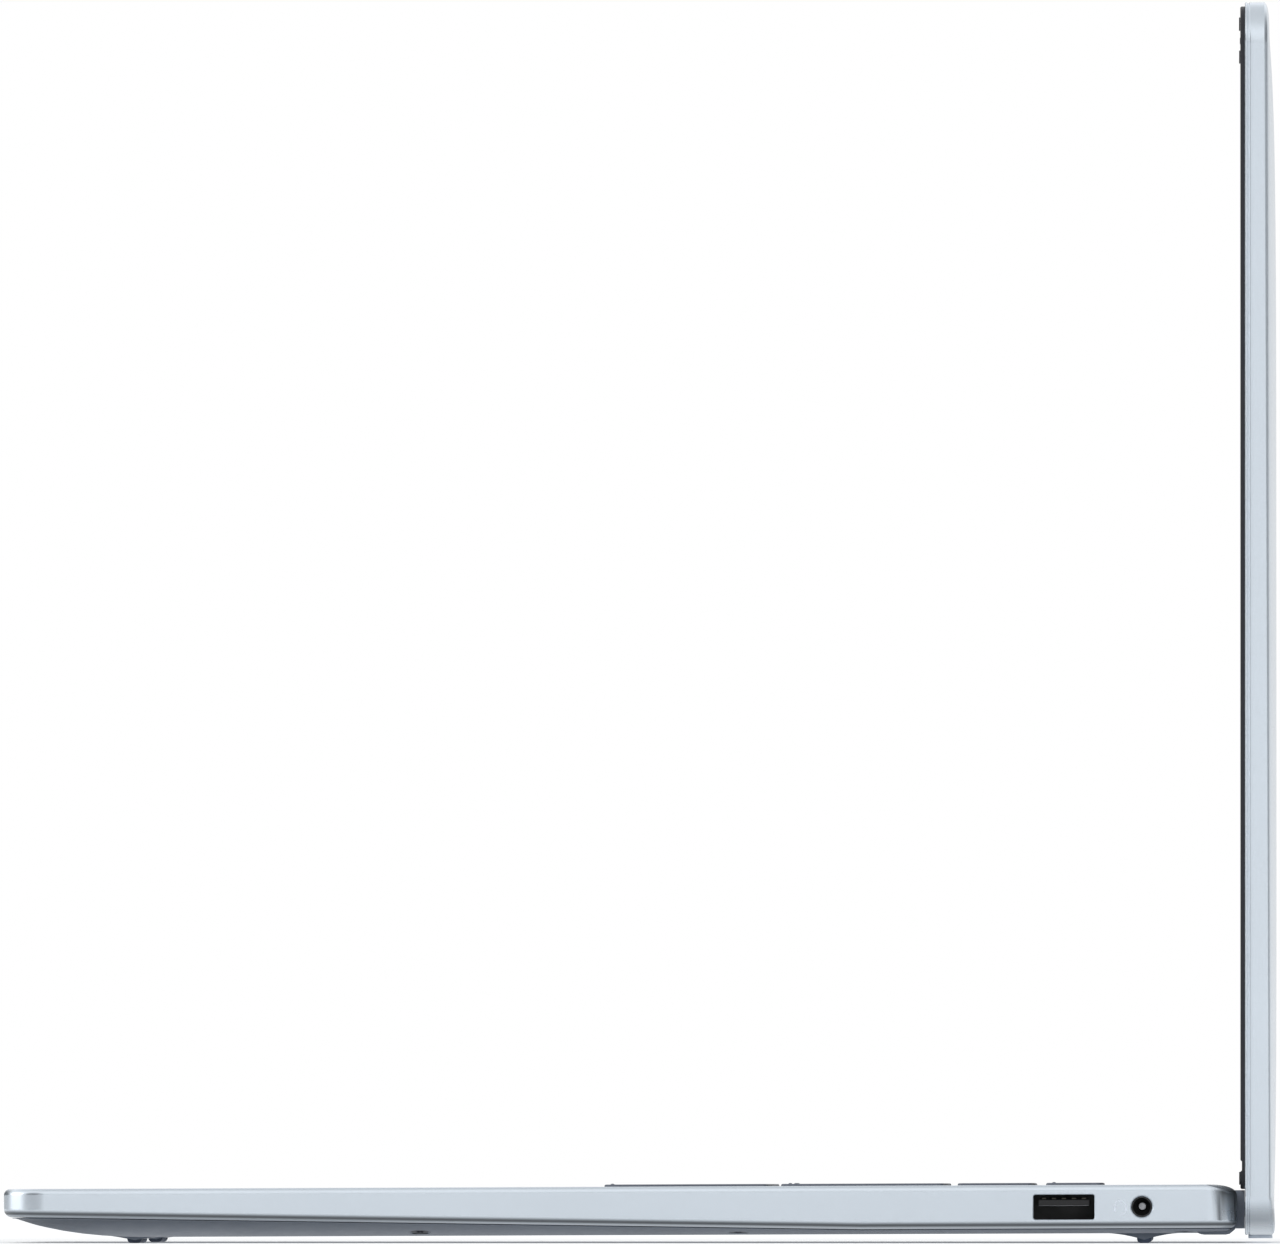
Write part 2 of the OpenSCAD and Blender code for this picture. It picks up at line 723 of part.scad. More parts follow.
// A raised bar near the front edge of a cap, to be found by touch
module tactile_bar(x, row) {
    on_base() translate([x - nub_w / 2, key_y0 + row * key_pitch + nub_in, key_top + nub_h - nub_r])
        rotate([0, 90, 0]) cylinder(r = nub_r, h = nub_w, $fn = 24);
}
function home_mid(i) = key_x0 + (reach_to(row_home, i) + 0.5) * key_pitch - key_gap / 2;
function pad_mid(column) = pad_x0 + column * pad_pitch + (pad_pitch - key_gap) / 2;
module keyboard_plate() {
    w = keyboard_w + 2 * plate_margin;
    color([0.3, 0.32, 0.36]) on_base() difference() {
        translate([key_x0 - plate_margin, key_y0 - plate_margin, plate_low])
            cube([w, keyboard_d + 2 * plate_margin, plate_t]);
        for (i = [0 : 14], r = [0 : 4]) {
            x = key_x0 + (i + 0.5) * key_pitch - key_gap / 2;
            y = key_y0 + r * key_pitch + key_depth / 2;
            translate([x, y, 0]) cylinder(r = 1.5, h = base_t, $fn = 16);
        }
    }
}
key_color = [0.42, 0.45, 0.5];
module keys_function() {
    color(key_color) caps() {
        function_2d(0);
        function_2d(-key_edge);
    }
}
module keys_number() {
    color(key_color) caps() {
        number_2d(0);
        number_2d(-key_edge);
    }
}
module keys_upper() {
    color(key_color) caps() {
        upper_2d(0);
        upper_2d(-key_edge);
    }
}
module keys_home() {
    color(key_color) {
        caps() {
            home_2d(0);
            home_2d(-key_edge);
        }
        for (i = [4, 7]) tactile_bar(home_mid(i), 2);
    }
}
module keys_lower() {
    color(key_color) caps() {
        lower_2d(0);
        lower_2d(-key_edge);
    }
}
module keys_bottom() {
    color(key_color) caps() {
        bottom_2d(0);
        bottom_2d(-key_edge);
    }
}
module space_bar() {
    color(key_color) caps() {
        space_2d(0);
        space_2d(-key_edge);
    }
}
module arrow_keys() {
    color(key_color) caps() {
        arrows_2d(0);
        arrows_2d(-key_edge);
    }
}
module numpad_keys() {
    color(key_color) {
        caps() {
            numpad_2d(0);
            numpad_2d(-key_edge);
        }
        tactile_bar(pad_mid(1), 2);
    }
}
module numpad_plus_key() {
    color(key_color) caps() {
        pad_plus_2d(0);
        pad_plus_2d(-key_edge);
    }
}
module numpad_enter_key() {
    color(key_color) {
        caps() {
            pad_enter_2d(0);
            pad_enter_2d(-key_edge);
        }
        tactile_bar(pad_mid(3), 0);
    }
}
module power_button() {
    color([0.6, 0.63, 0.68]) {
        caps() {
            power_2d(0);
            power_2d(-key_edge);
        }
        tactile_bar(pad_mid(3), 5);
    }
}

// Touchpad, hinged along its rear edge on a bracket under the deck
module touchpad() {
    color([0.72, 0.75, 0.8]) on_base() translate([touchpad_x, touchpad_y, 0]) {
        translate([0, 0, touchpad_low + touchpad_board_t]) linear_extrude(touchpad_t)
            round_rect(touchpad_w, touchpad_d, touchpad_r - touchpad_clear);
        translate([0, 0, touchpad_low]) linear_extrude(touchpad_board_t + eps)
            round_rect(touchpad_w - 6, touchpad_d - 6, 2);
    }
}
module touchpad_bracket() {
    top = bracket_top;
    w = touchpad_w + 14;
    d = touchpad_d + 12;
    color([0.5, 0.52, 0.55]) on_base() translate([touchpad_x, touchpad_y, 0]) {
        translate([0, 0, top - bracket_t]) linear_extrude(bracket_t) difference() {
            round_rect(w, d, 3);
            round_rect(touchpad_w - 24, touchpad_d - 24, 3);
        }
        for (x = [-1, 1], y = [-1, 1]) {
            translate([x * (w / 2 - 3), y * (d / 2 - 3), top - eps])
                cylinder(r = 2.4, h = deck_low - face_gap - top, $fn = 24);
        }
        translate([-15, touchpad_d / 2 + 1.2, top - eps]) cube([30, 4, deck_low - face_gap - top]);
    }
}

// Electronics
board_x0 = socket_in + part_gap;
board_main = [-2 * socket_in - board_side_gap, fan_y - fan_size / 2 - board_to_fan - board_y0];
board_arm = [-socket_in - fan_x - fan_size / 2 - arm_to_fan, keyboard_d - board_margin - part_gap];
module mainboard_2d() {
    difference() {
        translate([board_x0, board_y0]) {
            square(board_main);
            square(board_arm);
        }
        for (x = [-fan_x, cpu_x + 20, fan_x + 30], y = [5, board_main.y - 5]) {
            translate([x, board_y0 + y]) circle(r = 1.3, $fn = 20);
        }
    }
}
module mainboard() {
    color([0.1, 0.3, 0.2]) on_base() translate([0, 0, board_low]) linear_extrude(board_t) mainboard_2d();
}
chip_t = 1.2;
cpu_x = 0;
cpu_y = board_y0 + board_main.y / 2;
chip_pitch = board_main.y / 4.2;
module board_chips() {
    top = board_low;
    color([0.15, 0.15, 0.17]) on_base() {
        translate([cpu_x - 14, cpu_y - 12, top - chip_t]) cube([28, 24, chip_t]);
        for (i = [0 : 3]) {
            translate([cpu_x + 24, board_y0 + 3 + i * chip_pitch, top - 0.9])
                cube([12, chip_pitch - 2, 0.9]);
        }
        for (i = [0 : 4]) {
            translate([cpu_x - 38 + (i % 2) * 9, board_y0 + 3 + i * 0.8 * chip_pitch, top - 1.6])
                cube([7, 0.65 * chip_pitch, 1.6]);
        }
    }
}
module memory_module() {
    slot_y = board_main.y - 11;
    color([0.1, 0.32, 0.22]) on_base() translate([fan_x + 4, board_y0 + 7, board_low - 3]) {
        cube([30, slot_y + 2, 1]);
        for (i = [0 : 1]) translate([2 + i * 14, 6, -0.9]) cube([12, 10, 0.9 + eps]);
        translate([0, slot_y, 0]) cube([30, 6, 3 - face_gap]);
    }
}
module solid_state_drive() {
    color([0.1, 0.1, 0.12]) on_base() translate([board_x0 + 14, board_y0 + 11, board_low - 3]) {
        cube([60, 22, 0.9]);
        translate([8, 2, -0.9]) cube([16, 16, 0.9 + eps]);
        translate([30, 2, -0.9]) cube([16, 16, 0.9 + eps]);
        translate([58, 0, 0]) cube([7, 22, 3 - face_gap]);
    }
}
module wireless_card() {
    card_y = board_y0 + board_arm.y - 39;
    color([0.12, 0.3, 0.3]) on_base() translate([board_x0 + 16, card_y, board_low - 2.4]) {
        cube([24, 22, 0.8]);
        translate([3, 3, -0.9]) cube([18, 14, 0.9 + eps]);
        translate([22, 0, 0]) cube([6, 22, 2.4 - face_gap]);
    }
}
// Two flattened pipes on a copper plate, out to the fins on each side
pipe_t = 1.4;
pipe_w = 7;
plate_cu_t = 0.7;
pipe_low = board_low - chip_t - face_gap - plate_cu_t - pipe_t;
module pipe_run(points) {
    for (i = [0 : len(points) - 2]) {
        hull() {
            translate(points[i]) circle(r = pipe_w / 2, $fn = 24);
            translate(points[i + 1]) circle(r = pipe_w / 2, $fn = 24);
        }
    }
}
module heat_pipes() {
    y1 = fan_y - fan_size / 2 - pipe_w / 2 - 1.5;
    fin_end = fin_y + pipe_w / 2 + 1;
    mid = fan_x - fan_size / 2 - pipe_w / 2 - 1;
    color([0.72, 0.45, 0.3]) on_base() {
        translate([cpu_x - 17, cpu_y - 15, pipe_low + pipe_t]) cube([34, 30, plate_cu_t]);
        for (s = [-1, 1]) {
            translate([0, 0, pipe_low]) linear_extrude(pipe_t + eps) pipe_run([
                [cpu_x + s * 6, cpu_y - 11],
                [cpu_x + s * 6, y1],
                [s * mid, y1 + 12],
                [s * mid, fin_end]
            ]);
        }
    }
}
module fin_stack(s) {
    count = floor(fin_w / fin_pitch);
    color([0.7, 0.5, 0.38]) on_base() translate([s * fan_x - fin_w / 2, fin_y, fan_low]) {
        for (z = [0, fin_h - fin_t]) translate([0, 0, z]) cube([fin_w, fin_d, fin_t]);
        for (i = [0 : count]) translate([i * (fin_w - fin_t) / count, 0, 0]) cube([fin_t, fin_d, fin_h]);
    }
}
module fin_stack_left() fin_stack(-1);
module fin_stack_right() fin_stack(1);

module fan_housing(s) {
    bore = impeller_r + 1.2;
    color([0.17, 0.18, 0.2]) on_base() translate([s * fan_x, fan_y, fan_low]) difference() {
        linear_extrude(fan_t) round_rect(fan_size, fan_size, 6);
        translate([0, 0, 0.6]) cylinder(r = bore, h = fan_t - 1.2, $fn = 64);
        translate([-fan_size / 2 + 2, 0, 0.6]) cube([fan_size - 4, fan_size, fan_t - 1.2]);
        for (z = [-1, fan_t - 0.6 - eps]) translate([0, 0, z]) difference() {
            cylinder(r = impeller_r - 8, h = 1.6 + 2 * eps, $fn = 48);
            translate([0, 0, -1]) cylinder(r = 6, h = 5, $fn = 32);
            for (a = [0 : 120 : 240]) rotate(a) translate([0, -1.2, -1]) cube([far, 2.4, 5]);
        }
        translate([0, 0, -1]) cylinder(r = 1, h = far, $fn = 24);
    }
}
module fan_housing_left() fan_housing(-1);
module fan_housing_right() fan_housing(1);
module fan_impeller(s) {
    h = fan_t - 1.2 - 0.7;
    hub = 9;
    color([0.1, 0.1, 0.11]) on_base() translate([s * fan_x, fan_y, fan_low + 0.95]) {
        cylinder(r = hub, h = h, $fn = 48);
        for (i = [0 : fan_blades - 1]) {
            rotate(i * 360 / fan_blades) translate([hub - 0.6, 0, 0]) rotate(s * 28)
                cube([impeller_r - hub - 1.5, 0.5, h]);
        }
        translate([0, 0, -0.9]) cylinder(r = 0.96, h = h + 1.8, $fn = 24);
    }
}
module fan_impeller_left() fan_impeller(-1);
module fan_impeller_right() fan_impeller(1);

speaker_w = 26;
speaker_d = 46;
speaker_x = half_w - 24.4;
battery_to_speaker = 9;
battery_x0 = -(speaker_x - speaker_w / 2 - battery_to_speaker);
battery_w = 2 * (touchpad_x - battery_x0);
battery_y0 = front_y + 22;
battery_d = palm_depth - 54.6;
module battery_pack() {
    top = bracket_top - bracket_t - 0.25;
    cells = 4;
    pitch = battery_w / cells;
    color([0.12, 0.12, 0.13]) on_base() translate([battery_x0, battery_y0, inside_low]) {
        for (i = [0 : cells - 1]) {
            translate([i * pitch + 0.5, 0, 0]) cube([pitch - 1, battery_d - 8, top - inside_low]);
        }
        translate([0, battery_d - 8 - eps, 0]) cube([battery_w, 8, top - inside_low]);
    }
}
module speaker(s) {
    color([0.14, 0.14, 0.16]) on_base() translate([s * speaker_x, front_y + 52, inside_low]) difference() {
        linear_extrude(deck_low - inside_low - part_gap) round_rect(speaker_w, speaker_d, 4);
        translate([0, 8, -1]) cylinder(r = 8, h = 1.8, $fn = 40);
    }
}
module speaker_left() speaker(-1);
module speaker_right() speaker(1);

module io_board() {
    color([0.1, 0.3, 0.2]) on_base()
        translate([-socket_in - 16, rear_y - 55.2, inside_low]) cube([24, 40, io_board_t]);
}
// A sheet metal socket, open toward +X, with a tongue
module socket(w, h, r, tongue_w, tongue_t, tongue_z) {
    length = socket_out + socket_in;
    along_x(0) difference() {
        linear_extrude(length) round_rect(w + 2 * shell_t, h + 2 * shell_t, r + shell_t);
        translate([0, 0, 1]) linear_extrude(length) round_rect(w, h, r);
    }
    translate([0.9, -tongue_w / 2, tongue_z - tongue_t / 2]) cube([length + 0.6, tongue_w, tongue_t]);
}
module usb_a_socket() {
    color([0.08, 0.08, 0.1]) on_base() translate([-socket_in, usb_a_y, port_z])
        socket(usb_a_w, usb_a_h, 0.45, 10.3, 1.15, 0.88);
}
module hdmi_socket() {
    color([0.3, 0.31, 0.33]) on_base() translate([socket_in, hdmi_y, port_z])
        mirror([1, 0, 0]) socket(hdmi_w, hdmi_h, 0.6, 9.4, 1.1, 0.2);
}
module usb_c_sockets() {
    color([0.3, 0.31, 0.33]) on_base() for (y = usb_c_y) {
        translate([socket_in, y, port_z]) mirror([1, 0, 0])
            socket(usb_c_w, usb_c_h, usb_c_h / 2 - eps, 6.6, 0.7, 0);
    }
}
module headset_jack() {
    color([0.05, 0.05, 0.06]) on_base() translate([0, jack_y, port_z]) along_x(half_w - 0.5 - jack_body)
        difference() {
            union() {
                cylinder(r = jack_nose_r, h = jack_body, $fn = 48);
                cylinder(r = jack_body_r, h = jack_body - wall_t, $fn = 48);
            }
            translate([0, 0, jack_body - jack_depth])
                cylinder(r = jack_bore_r, h = jack_depth + 1, $fn = 48);
        }
}

// Hinge: knuckle and plate on the base, arm and leaf on the lid
module hinge_bracket() {
    y0 = hinge_y - notch_r - notch_wall - part_gap;
    z1 = deck_low - face_gap;
    plate_y = key_y0 + keyboard_d + plate_margin + part_gap;
    neck_z = hinge_h + shaft_r + 0.4;
    difference() {
        union() {
            translate([knuckle_x, hinge_y, hinge_h]) along_x(0)
                cylinder(r = knuckle_r, h = knuckle_w, $fn = 48);
            translate([knuckle_x, plate_y, z1 - 1.2]) cube([notch_x2 + 3 - knuckle_x, y0 - plate_y, 1.2]);
            translate([knuckle_x, plate_y, z1 - 1.2]) cube([knuckle_w, hinge_y - plate_y, 1.2]);
            translate([knuckle_x, hinge_y - 2, neck_z]) cube([knuckle_w, 2, z1 - neck_z]);
        }
        translate([knuckle_x - 1, hinge_y, hinge_h]) along_x(0)
            cylinder(r = shaft_r + shaft_clear, h = far, $fn = 48);
        for (x = [notch_x1 + 4, notch_x2 - 6]) {
            translate([x, (plate_y + y0) / 2, 0]) cylinder(r = 1.2, h = far, $fn = 24);
        }
    }
}
module hinge_bracket_left() color([0.5, 0.52, 0.55]) on_base() mirror([1, 0, 0]) hinge_bracket();
module hinge_bracket_right() color([0.5, 0.52, 0.55]) on_base() hinge_bracket();

leaf_x = hinge_x - leaf_w / 2;
module hinge_arm() {
    shaft_x = knuckle_x + 0.2;
    difference() {
        union() {
            along_x(shaft_x) cylinder(r = shaft_r, h = hinge_x + leaf_w / 2 - shaft_x, $fn = 48);
            along_x(leaf_x) cylinder(r = hub_r, h = leaf_w, $fn = 48);
            translate([leaf_x, -arm_half, -leaf_front - leaf_t]) {
                cube([leaf_w, 2 * arm_half, leaf_front + leaf_t]);
                cube([leaf_w, leaf_h, leaf_t]);
            }
        }
        leaf_holes(1.2);
    }
}
module leaf_holes(r) {
    for (x = [leaf_x + 5, leaf_x + leaf_w - 5], y = [cavity_low + 6, leaf_h - 6]) {
        translate([x, y, -leaf_front - leaf_t - 1]) cylinder(r = r, h = leaf_t + 2, $fn = 20);
    }
}
module hinge_arm_left() color([0.5, 0.52, 0.55]) on_lid() mirror([1, 0, 0]) hinge_arm();
module hinge_arm_right() color([0.5, 0.52, 0.55]) on_lid() hinge_arm();

module hinge_cover() {
    x0 = hinge_x - hinge_cover_w / 2;
    depth = lid_plane - face_gap;
    difference() {
        union() {
            along_x(x0) cylinder(r = hinge_cover_r, h = hinge_cover_w, $fn = 64);
            translate([x0, -hinge_cover_r, -depth]) cube([hinge_cover_w, 2 * hinge_cover_r, depth]);
        }
        along_x(x0 - 1) cylinder(r = shaft_r + face_gap, h = leaf_w, $fn = 48);
        along_x(leaf_x - face_gap) cylinder(r = hub_r + face_gap, h = leaf_w + 2 * face_gap, $fn = 48);
        translate([leaf_x - face_gap, -arm_half - face_gap, -far])
            cube([leaf_w + 2 * face_gap, 2 * (arm_half + face_gap), far]);
    }
}
module hinge_cover_left() color([0.3, 0.33, 0.38]) on_lid() mirror([1, 0, 0]) hinge_cover();
module hinge_cover_right() color([0.3, 0.33, 0.38]) on_lid() hinge_cover();
module hinge_screws() {
    color([0.3, 0.3, 0.32]) on_lid() for (s = [0, 1]) mirror([s, 0, 0]) {
        for (x = [leaf_x + 5, leaf_x + leaf_w - 5], y = [cavity_low + 6, leaf_h - 6]) {
            translate([x, y, -leaf_front + face_gap / 2]) cylinder(r = 1.9, h = 0.25, $fn = 24);
            translate([x, y, -leaf_front - leaf_t]) cylinder(r = 1.1, h = leaf_t + 0.1, $fn = 20);
        }
    }
}

// Lid: loops of its outline, with the depth of the crown at each inset
function lid_rim(u) = between(rim_foot, rim_top, clamped((u - lid_low) / lid_h));
function lid_corner_points(sx, top, inset, depth) = [
    for (i = [0 : arc_steps]) let(
        a = 90 * i / arc_steps,
        r0 = top ? lid_corner : lid_corner_foot,
        r = max(r0 - inset, 0.5),
        edge = max(inset, r0 - r),
        down = top ? 0 : sin(a),
        x = sx * (half_w - inset - r + r * cos(a)),
        y = top ? lid_high - inset - r + r * sin(a) : lid_low + inset + r - r * sin(a),
        rim = lid_rim(y) + foot_rim_extra * down * down,
        rate = crown_rate + foot_rate_extra * down,
        d = depth < 0 ? lid_t - (lid_t - rim) * exp(-rate * pow(inset, crown_power)) : depth
    ) [x, y, -lid_plane - d]
];
function lid_loop(inset, depth) = [
    for (sx = [-1, 1], top = [false, true]) each lid_corner_points(sx, top, inset, depth)
];
module lid_outer() {
    wrap(concat(
        lid_loop(lid_edge, 0),
        lid_loop(0, lid_edge),
        [for (s = crown_insets) each lid_loop(s, -1)]
    ));
}
module lid_outline(inset, low) {
    corner_rect(base_w - 2 * inset, low, lid_high - inset, 1.2, lid_corner - inset);
}
module lid_cavity() {
    intersection() {
        translate([0, 0, lid_back_t]) lid_outer();
        translate([0, 0, -lid_back - 1]) linear_extrude(lid_t + 2) lid_outline(lid_wall, cavity_low);
    }
    translate([0, 0, -lid_plane - lid_back_t - eps]) linear_extrude(lid_back_t + 1)
        lid_outline(lid_wall, cavity_low);
}
module lid_cover() {
    color([0.8, 0.83, 0.88]) on_lid() difference() {
        lid_outer();
        lid_cavity();
        for (s = [0, 1]) mirror([s, 0, 0]) {
            translate([leaf_x - part_gap, -arm_half - part_gap, -leaf_front - leaf_t - part_gap])
                cube([leaf_w + 2 * part_gap, cavity_low + 2, far]);
        }
    }
}
module lid_foot_strip() {
    w = base_w - 2 * (lid_corner_foot + 6);
    d = rim_foot + foot_rim_extra - strip_in + 0.8;
    color([0.5, 0.53, 0.58]) on_lid()
        translate([0, lid_low - face_gap, -lid_plane - (rim_foot + strip_in) / 2])
        rotate([90, 0, 0]) linear_extrude(strip_h) round_rect(w, d, 1.6);
}

module panel_outline(grow) {
    translate([-panel_w / 2 - grow, panel_y0 - grow]) square([panel_w + 2 * grow, panel_h + 2 * grow]);
}
module screen_window() {
    translate([-screen_w / 2 + eps, screen_low]) square([screen_w - 2 * eps, screen_h]);
}
module bezel() {
    color([0.08, 0.09, 0.11]) on_lid() difference() {
        union() {
            translate([0, 0, -bezel_plane - bezel_t]) linear_extrude(bezel_t) difference() {
                lid_outline(bezel_inset, bezel_low);
                screen_window();
            }
            translate([0, 0, -lid_plane + face_gap]) linear_extrude(bezel_proud - bezel_t) difference() {
                lid_outline(bezel_inset, bezel_low);
                panel_outline(part_gap);
            }
            translate([0, 0, -lid_plane - skirt_depth]) linear_extrude(skirt_depth + 2 * face_gap)
                difference() {
                    lid_outline(lid_wall + 0.1, bezel_low + 0.2);
                    panel_outline(part_gap);
                    translate([-half_w, bezel_low - 1]) square([base_w, panel_y0 - bezel_low - 1]);
                }
        }
        translate([-camera_w / 2 - 1, camera_y - camera_h / 2 - 0.4, -far - bezel_plane - bezel_t])
            cube([camera_w + 2, camera_h + 0.7, far]);
        translate([0, camera_y, -bezel_plane - 2]) cylinder(r = lens_r, h = 4, $fn = 32);
        translate([shutter_slot_x, camera_y - knob_h / 2 - 0.15, -bezel_plane - 2])
            cube([shutter_travel + knob_w + 0.3, knob_h + 0.3, 4]);
    }
}
module lid_bumpers() {
    color([0.15, 0.16, 0.18]) on_lid() for (s = [-1, 1], y = [bezel_low + 2.2, lid_high - 4.5]) {
        translate([s * (half_w - 9), y, -bezel_plane + eps]) linear_extrude(closed_gap - face_gap - 2 * eps)
            round_rect(9, 2.6, 1.2);
    }
}
module display_panel() {
    color([0.05, 0.06, 0.08]) on_lid()
        translate([0, 0, -panel_back]) linear_extrude(panel_t) panel_outline(0);
}
module display_board() {
    w = 2 * (leaf_x - 11);
    color([0.1, 0.3, 0.2]) on_lid() translate([-w / 2, panel_y0 + 1, -panel_back - 1.3])
        cube([w, 9, 1.3 - eps]);
}
camera_front = bezel_plane + bezel_t + face_gap + shutter_t + face_gap;
shutter_slot_x = lens_r + 5.5;
module camera_module() {
    color([0.08, 0.1, 0.1]) on_lid() {
        translate([-camera_w / 2, camera_y - camera_h / 2, -camera_front - camera_d])
            cube([camera_w, camera_h, camera_d - 0.5]);
        translate([0, camera_y, -camera_front - 0.6]) cylinder(r = lens_r + 0.3, h = 0.6, $fn = 32);
        for (x = [-1, 1]) {
            translate([x * (camera_w / 2 - 3) - 1, camera_y - 1, -camera_front - 0.6])
                cube([2, 2, 0.6 + shutter_t]);
        }
    }
}
module camera_shutter() {
    plate_x = lens_r + 1;
    color([0.2, 0.21, 0.24]) on_lid() {
        translate([plate_x, camera_y - shutter_h / 2, -camera_front + face_gap - eps])
            cube([shutter_w, shutter_h, shutter_t]);
        translate([shutter_slot_x + shutter_travel + 0.15, camera_y - knob_h / 2, -camera_front + face_gap])
            cube([knob_w, knob_h, camera_front - bezel_plane + 0.05]);
    }
}

top_case();
bottom_cover();
bottom_screws();
front_feet();
rear_foot();
keyboard_plate();
keys_function();
keys_number();
keys_upper();
keys_home();
keys_lower();
keys_bottom();
space_bar();
arrow_keys();
numpad_keys();
numpad_plus_key();
numpad_enter_key();
power_button();
touchpad();
touchpad_bracket();
mainboard();
board_chips();
memory_module();
solid_state_drive();
wireless_card();
heat_pipes();
fin_stack_left();
fin_stack_right();
fan_housing_left();
fan_housing_right();
fan_impeller_left();
fan_impeller_right();
battery_pack();
speaker_left();
speaker_right();
io_board();
usb_a_socket();
headset_jack();
hdmi_socket();
usb_c_sockets();
hinge_bracket_left();
hinge_bracket_right();
hinge_arm_left();
hinge_arm_right();
hinge_cover_left();
hinge_cover_right();
hinge_screws();
lid_cover();
lid_foot_strip();
bezel();
lid_bumpers();
display_panel();
display_board();
camera_module();
camera_shutter();
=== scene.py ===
import math
import bpy
import bmesh
from mathutils import Matrix, Vector


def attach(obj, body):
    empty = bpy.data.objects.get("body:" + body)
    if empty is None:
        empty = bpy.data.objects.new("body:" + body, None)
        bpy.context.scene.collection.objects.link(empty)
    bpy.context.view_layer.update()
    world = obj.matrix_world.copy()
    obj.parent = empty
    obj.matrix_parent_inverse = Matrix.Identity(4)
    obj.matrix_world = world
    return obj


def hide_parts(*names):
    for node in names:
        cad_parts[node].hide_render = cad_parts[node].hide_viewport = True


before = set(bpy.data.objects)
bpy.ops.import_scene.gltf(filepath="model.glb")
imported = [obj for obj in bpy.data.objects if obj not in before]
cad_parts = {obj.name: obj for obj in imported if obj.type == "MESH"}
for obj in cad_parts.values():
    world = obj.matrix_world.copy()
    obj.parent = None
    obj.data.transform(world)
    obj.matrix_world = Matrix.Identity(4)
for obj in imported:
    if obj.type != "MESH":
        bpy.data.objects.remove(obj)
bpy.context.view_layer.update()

# All lengths below are millimetres in the frame of the base or of the lid, and become metres in build().
MM = 0.001
TAU = 2 * math.pi

# ---------------------------------------------------------------- sizes, as in the CAD
HALF = 178.4
BASE_T = 9.9
FRONT, REAR = -129.985, 121.815
DEPTH = REAR - FRONT
CORNER_F, CORNER_R = 8.5, 6.2
SIDE_ROUND, SIDE_DROP, FRONT_ROUND, REAR_DEPTH, REAR_DROP = 0.8, 1.25, 1.3, 5.8, 2.1
LOW_ROUND, LOW_SIDE, LOW_FRONT, LOW_REAR, LOW_TURN = 1.7, 1.2, 1.85, 1.6, 74.8
PART_FRONT, PART_REAR, PART_END = 4.1, 0.95, 45.0
DISH_RUN, DISH_POWER, SIDE_RUN = 30.0, 2.4, 14.0
WALL, DECK_T, COVER_T, SEAM = 2.6, 1.2, 1.1, 0.12
TILT = math.radians(0.22)
FLOOR_GAP = 1.65
HINGE_Y, HINGE_H = REAR - 4.7, 4.8
HINGE_X, HINGE_R, HINGE_W = 134.0, 3.9, 51.3
NOTCH_R, NOTCH_W = HINGE_R + 0.38, HINGE_W + 0.7
AXIS_Y = HINGE_Y * math.cos(TILT) - HINGE_H * math.sin(TILT)
AXIS_Z = FLOOR_GAP + HINGE_Y * math.sin(TILT) + HINGE_H * math.cos(TILT)
LID_PLANE, LID_T, LID_LOW, LID_HIGH = 6.37, 6.5, -5.23, 246.57
RIM_TOP, RIM_FOOT = 3.95, 4.9
LID_CORNER, LID_CORNER_FOOT = 8.5, 8.0
BEZEL_PLANE, BEZEL_T, BEZEL_IN, BEZEL_LOW = 5.42, 0.55, 0.9, 4.15
SCREEN_W, SCREEN_H = 344.7, 215.4
SCREEN_TOP = LID_HIGH - 10
SCREEN_LOW = SCREEN_TOP - SCREEN_H
CHIN = (7.8, 10.1)
PANEL_FRONT = BEZEL_PLANE + BEZEL_T + 0.05
CAMERA_Y = LID_HIGH - 4.8
SLOT_X, SLOT_W, MIC_X, LAMP_X = 7.0, 7.9, 19.0, -7.0
KEY_GAP, PAD_GAP, PITCH, PAD_PITCH = 3.0, 4.0, 18.05, 15.3
KEY_R, KEY_CLEAR, CAP_T, KEY_PROUD = 1.2, 0.35, 1.3, 0.45
FUNCTION_D = 11.2
KEY_D = PITCH - KEY_GAP
MAIN_W = 15 * PITCH - KEY_GAP
KEY_X0 = -(MAIN_W + PAD_GAP + 4 * PAD_PITCH - KEY_GAP) / 2
PAD_X0 = KEY_X0 + MAIN_W + PAD_GAP
KEY_Y0 = REAR - 27.75 - 5 * PITCH - FUNCTION_D
KEY_TOP = BASE_T + KEY_PROUD
ARROW_GAP = 1.6
NUB_IN = 1.6
PAD_W, PAD_D = 130.0, KEY_Y0 - FRONT - 38.6
PAD_X, PAD_Y = KEY_X0 + MAIN_W / 2, FRONT + 18.6 + PAD_D / 2
PORT_Z = 5.4
USB_Y, JACK_Y, HDMI_Y = REAR - 35.3, REAR - 19.4, REAR - 37.2
USBC_Y = (REAR - 55.2, REAR - 69.2)
USB_SIZE, HDMI_SIZE, USBC_SIZE, JACK_R = (12.5, 5.12), (14.0, 4.55), (8.94, 3.26), 2.17
SIGN_Y, SIGN_Z = JACK_Y - 4.355, 5.32
FAN_X, FAN_Y = 60.0, REAR - 50.0
AIR_SLOTS, AIR_SIZE, AIR_PITCH = 11, (3.4, 3.0), 4.8
VENT_COLUMNS, VENT_ROWS, VENT_SIZE, VENT_PITCH = 7, 10, (5.4, 1.5), (7.4, 3.9)
FOOT_W = 2.9
# each foot: x, y, length, height of its seat, and the width, height and length of the ridge round it
FEET = ((112, FRONT + 26.1, 62, 1.9, 12.4, 0.72, 69), (-112, FRONT + 26.1, 62, 1.9, 12.4, 0.72, 69),
        (0, REAR - 19, 290, 2.1, 16.4, 1.4, 302))
SCREW_R, SCREW_HOLE_R = 1.86, 2.1

